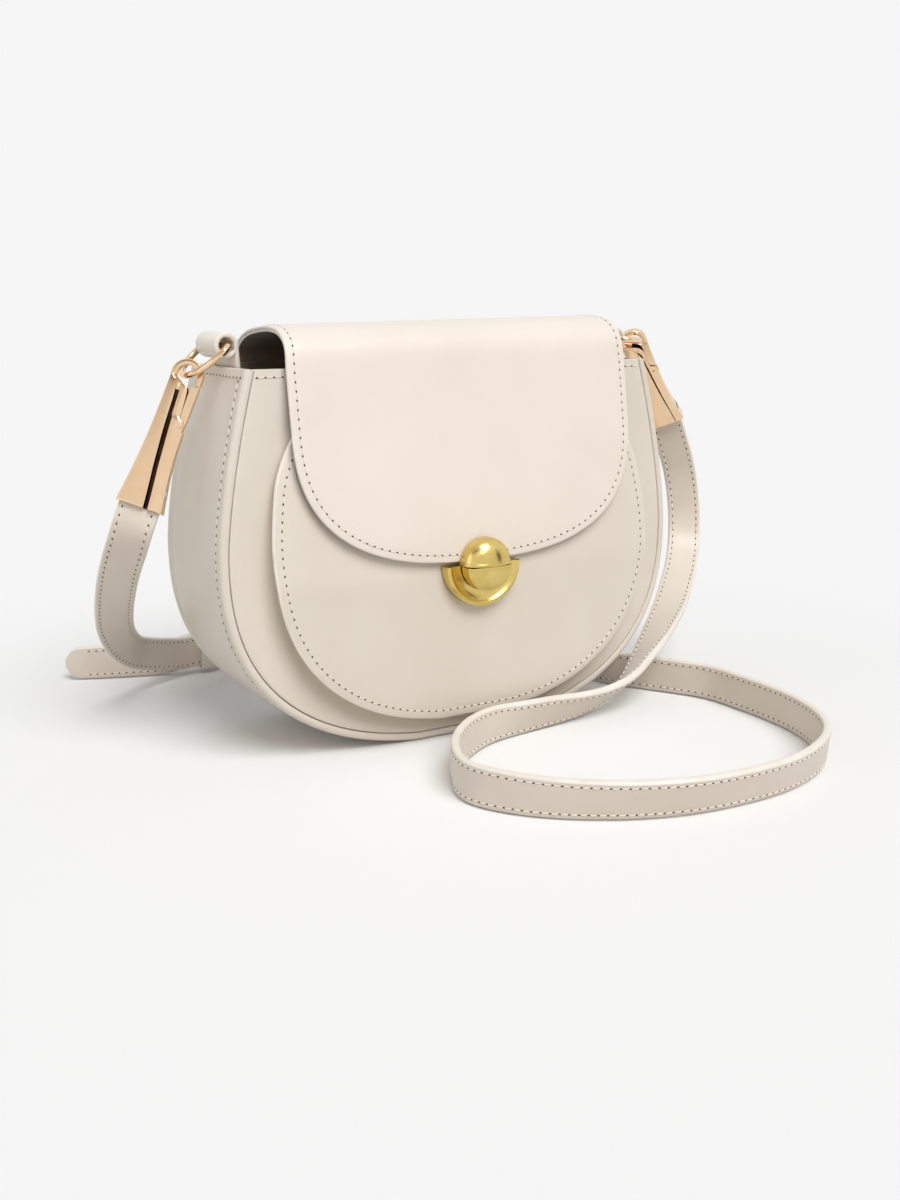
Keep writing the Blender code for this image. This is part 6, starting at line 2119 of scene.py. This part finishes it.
@dataclass(frozen=True)
class Studio:
    """A pale sweep under broad soft light, seen from the photograph's place."""

    azimuth_deg: float = -30.7
    elevation_deg: float = 13.0
    distance: float = 0.543
    target: Triple = (0.0025, -0.0150, 0.0522)
    lens: float = 39.0
    background: str = "F6F6F6"
    bounce: str = "D2CFCB"
    fade_from: float = 0.22
    fade_to: float = 0.40
    floor_size: float = 6.0
    floor_drop: float = 0.0002
    world_light: float = 0.40
    card_core: float = 0.14
    card_end: float = 0.49

    def build(self) -> None:
        """Set the camera, floor, world, lamps, and the cards that only the metal's reflections see."""
        scene = bpy.context.scene
        scene.view_settings.view_transform = "Standard"
        self.build_camera(scene)
        self.build_floor()
        self.build_world(scene)
        self.lamp("key_light", (-2.0, 50.0), 2.27, 38.0)
        self.lamp("left_fill_light", (-94.0, 8.0), 0.5, 70.0)
        self.card("upper_tan_card", (-42.0, 48.0), 0.80, (0.95, 0.50), "9C8B7A")
        self.card("left_dark_card", (-108.0, 40.0), 0.60, (0.34, 0.80), "2E241C")
        self.card("right_dark_card", (44.0, 8.0), 0.80, (0.26, 0.70), "5A5046")

    def towards(self, azimuth_deg: float, elevation_deg: float) -> Vector:
        """Direction from the bag at an azimuth and elevation."""
        azimuth, elevation = math.radians(azimuth_deg), math.radians(elevation_deg)
        level = Vector((math.sin(azimuth), -math.cos(azimuth), 0.0))
        return level * math.cos(elevation) + Z_AXIS * math.sin(elevation)

    def build_camera(self, scene: bpy.types.Scene) -> None:
        """A camera on the photograph's line of sight.

        Args:
            scene: the scene that it looks at.
        """
        away = self.towards(self.azimuth_deg, self.elevation_deg)
        data = bpy.data.cameras.new("photo_camera")
        data.lens, data.sensor_width, data.sensor_fit = self.lens, 36.0, "AUTO"
        data.clip_start, data.clip_end = 0.01, 20.0
        camera = bpy.data.objects.new("photo_camera", data)
        camera.location = Vector(self.target) + away * self.distance
        camera.rotation_euler = (-away).to_track_quat("-Z", "Y").to_euler()
        scene.collection.objects.link(camera)
        scene.camera = camera

    def build_floor(self) -> None:
        """A white sweep that keeps the bag's shadow and fades into the background."""
        shape = bmesh.new()
        bmesh.ops.create_grid(shape, x_segments=2, y_segments=2, size=self.floor_size)
        bmesh.ops.translate(shape, verts=shape.verts, vec=(0.0, 0.0, -self.floor_drop))
        floor = add_object("studio_floor", shape)
        made = bpy.data.materials.new("white_paper_sweep")
        made.use_nodes = True
        tree = made.node_tree
        shader = tree.nodes["Principled BSDF"]
        shader.inputs["Roughness"].default_value = 0.9
        shader.inputs["Specular IOR Level"].default_value = 0.1
        place = add_node(tree, "ShaderNodeTexCoord").outputs["Object"]
        away = add_node(tree, "ShaderNodeVectorMath", {"operation": "LENGTH"}, {0: place})
        fade = add_node(tree, "ShaderNodeMapRange", {"interpolation_type": "SMOOTHSTEP"}, {
            "Value": away.outputs["Value"], "From Min": self.fade_from, "From Max": self.fade_to})
        path = add_node(tree, "ShaderNodeLightPath")
        seen = add_node(tree, "ShaderNodeMath", {"operation": "MAXIMUM"}, {
            0: path.outputs["Is Camera Ray"], 1: path.outputs["Is Glossy Ray"]})
        paper = add_node(tree, "ShaderNodeMix", {"data_type": "RGBA"}, {
            0: seen.outputs["Value"], 6: linear(self.bounce), 7: linear(self.background)})
        tree.links.new(paper.outputs[2], shader.inputs["Base Color"])
        amount = add_node(tree, "ShaderNodeMath", {"operation": "MULTIPLY"}, {
            0: fade.outputs["Result"], 1: seen.outputs["Value"]})
        glow = add_node(tree, "ShaderNodeEmission", inputs={"Color": linear(self.background)})
        mixed = add_node(tree, "ShaderNodeMixShader", inputs={
            0: amount.outputs["Value"], 1: shader.outputs["BSDF"], 2: glow.outputs["Emission"]})
        tree.links.new(mixed.outputs["Shader"], tree.nodes["Material Output"].inputs["Surface"])
        floor.data.materials.append(made)
        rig.stage(floor)

    def build_world(self, scene: bpy.types.Scene) -> None:
        """Even light from all round, shown as the pale background.

        Args:
            scene: the scene that it lights.
        """
        world = bpy.data.worlds.new("studio_world")
        world.use_nodes = True
        scene.world = world
        tree = world.node_tree
        lit = tree.nodes["Background"]
        lit.inputs["Color"].default_value = (1.0, 1.0, 1.0, 1.0)
        lit.inputs["Strength"].default_value = self.world_light
        shown = add_node(tree, "ShaderNodeBackground", inputs={"Color": linear(self.background)})
        path = add_node(tree, "ShaderNodeLightPath")
        seen = add_node(tree, "ShaderNodeMath", {"operation": "MAXIMUM"}, {
            0: path.outputs["Is Camera Ray"], 1: path.outputs["Is Glossy Ray"]})
        mixed = add_node(tree, "ShaderNodeMixShader", inputs={
            0: seen.outputs["Value"], 1: lit.outputs["Background"], 2: shown.outputs["Background"]})
        tree.links.new(mixed.outputs["Shader"], tree.nodes["World Output"].inputs["Surface"])

    def lamp(self, name: str, angles: Flat, energy: float, spread_deg: float) -> None:
        """A broad, far lamp aimed at the bag.

        Args:
            name: its name.
            angles: azimuth and elevation that it shines from.
            energy: its strength.
            spread_deg: how wide it looks from the bag.
        """
        data = bpy.data.lights.new(name, "SUN")
        data.energy, data.angle = energy, math.radians(spread_deg)
        made = bpy.data.objects.new(name, data)
        away = self.towards(*angles)
        made.location = Vector(self.target) + away
        made.rotation_euler = (-away).to_track_quat("-Z", "Y").to_euler()
        bpy.context.scene.collection.objects.link(made)

    def card(self, name: str, angles: Flat, distance: float, size: Flat, tone: str) -> None:
        """A flat card outside the view, its tone fading out towards its edges.

        Args:
            name: its name.
            angles: azimuth and elevation of its middle.
            distance: how far from the bag.
            size: its width and height.
            tone: the colour of its middle in the reflections.
        """
        away = self.towards(*angles)
        turn = away.to_track_quat("Z", "Y").to_matrix().to_4x4()
        moved = Matrix.Translation(Vector(self.target) + away * distance)
        matrix = moved @ turn @ Matrix.Diagonal((*size, 1.0, 1.0))
        shape = bmesh.new()
        shape.loops.layers.uv.new("card_map")
        bmesh.ops.create_grid(shape, x_segments=1, y_segments=1, size=0.5, matrix=matrix, calc_uvs=True)
        made = add_object(name, shape)
        material = bpy.data.materials.new(name)
        material.use_nodes = True
        tree = material.node_tree
        place = add_node(tree, "ShaderNodeUVMap", {"uv_map": "card_map"}).outputs["UV"]
        middle = add_node(tree, "ShaderNodeVectorMath", {"operation": "SUBTRACT"}, {
            0: place, 1: (0.5, 0.5, 0.0)})
        out = add_node(tree, "ShaderNodeVectorMath", {"operation": "LENGTH"}, {0: middle.outputs["Vector"]})
        share = add_node(tree, "ShaderNodeMapRange", {"interpolation_type": "SMOOTHSTEP"}, {
            "Value": out.outputs["Value"], "From Min": self.card_core, "From Max": self.card_end})
        colour = add_node(tree, "ShaderNodeMix", {"data_type": "RGBA"}, {
            0: share.outputs["Result"], 6: linear(tone), 7: linear(self.background)})
        shown = add_node(tree, "ShaderNodeEmission", inputs={"Color": colour.outputs[2]})
        clear = add_node(tree, "ShaderNodeBsdfTransparent")
        corner = add_node(tree, "ShaderNodeMath", {"operation": "GREATER_THAN"}, {
            0: out.outputs["Value"], 1: self.card_end})
        mixed = add_node(tree, "ShaderNodeMixShader", inputs={
            0: corner.outputs["Value"], 1: shown.outputs["Emission"], 2: clear.outputs["BSDF"]})
        tree.links.new(mixed.outputs["Shader"], tree.nodes["Material Output"].inputs["Surface"])
        made.data.materials.append(material)
        made.visible_camera = made.visible_diffuse = made.visible_shadow = False
        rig.stage(made)


def dress_small_metal() -> None:
    """Give the CAD nodes that stay their own finishes."""
    plates = ("lock_back_plate", "left_lock_screw", "right_lock_screw", "flap_tongue", "tongue_rivet",
              "flap_back_plate")
    pins = ("left_gate_pin", "right_gate_pin", "left_strap_rivet", "right_strap_rivet")
    for names, finish in ((plates, STEEL), (pins, ROSE_GOLD)):
        for name in names:
            node = frame["nodes"][name]
            node.data.materials.clear()
            node.data.materials.append(finish.material())
            log.info("%s keeps its CAD shape", name)


def main() -> None:
    """Build the whole bag in its studio."""
    logging.basicConfig(level=logging.INFO, format="%(message)s")
    cad_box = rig.bounds()
    Studio().build()
    body = BagBody()
    body.build()
    pocket = FrontPocket(body=body)
    pocket.build()
    Flap(body, pocket).build()
    PressLock().build()
    left = SideFitting(Side.LEFT, 40.0, 0.0030, (-0.425, -0.077, -0.902), (0.788, -0.544, -0.286))
    right = SideFitting(
        Side.RIGHT, 5.0, 0.0, (0.6226, 0.282, -0.7296), (0.687, -0.645, 0.337), crease_width=0.0010,
        crease_fade=0.8, crease_shift=0.0028)
    left.build()
    right.build()
    Strap(StrapLeather(), left, right).build()
    dress_small_metal()
    boxes = {"cad": [list(corner) for corner in cad_box], "visual": [list(corner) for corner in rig.bounds()]}
    Path("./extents.json").write_text(json.dumps(boxes))


if __name__ == "__main__":
    main()
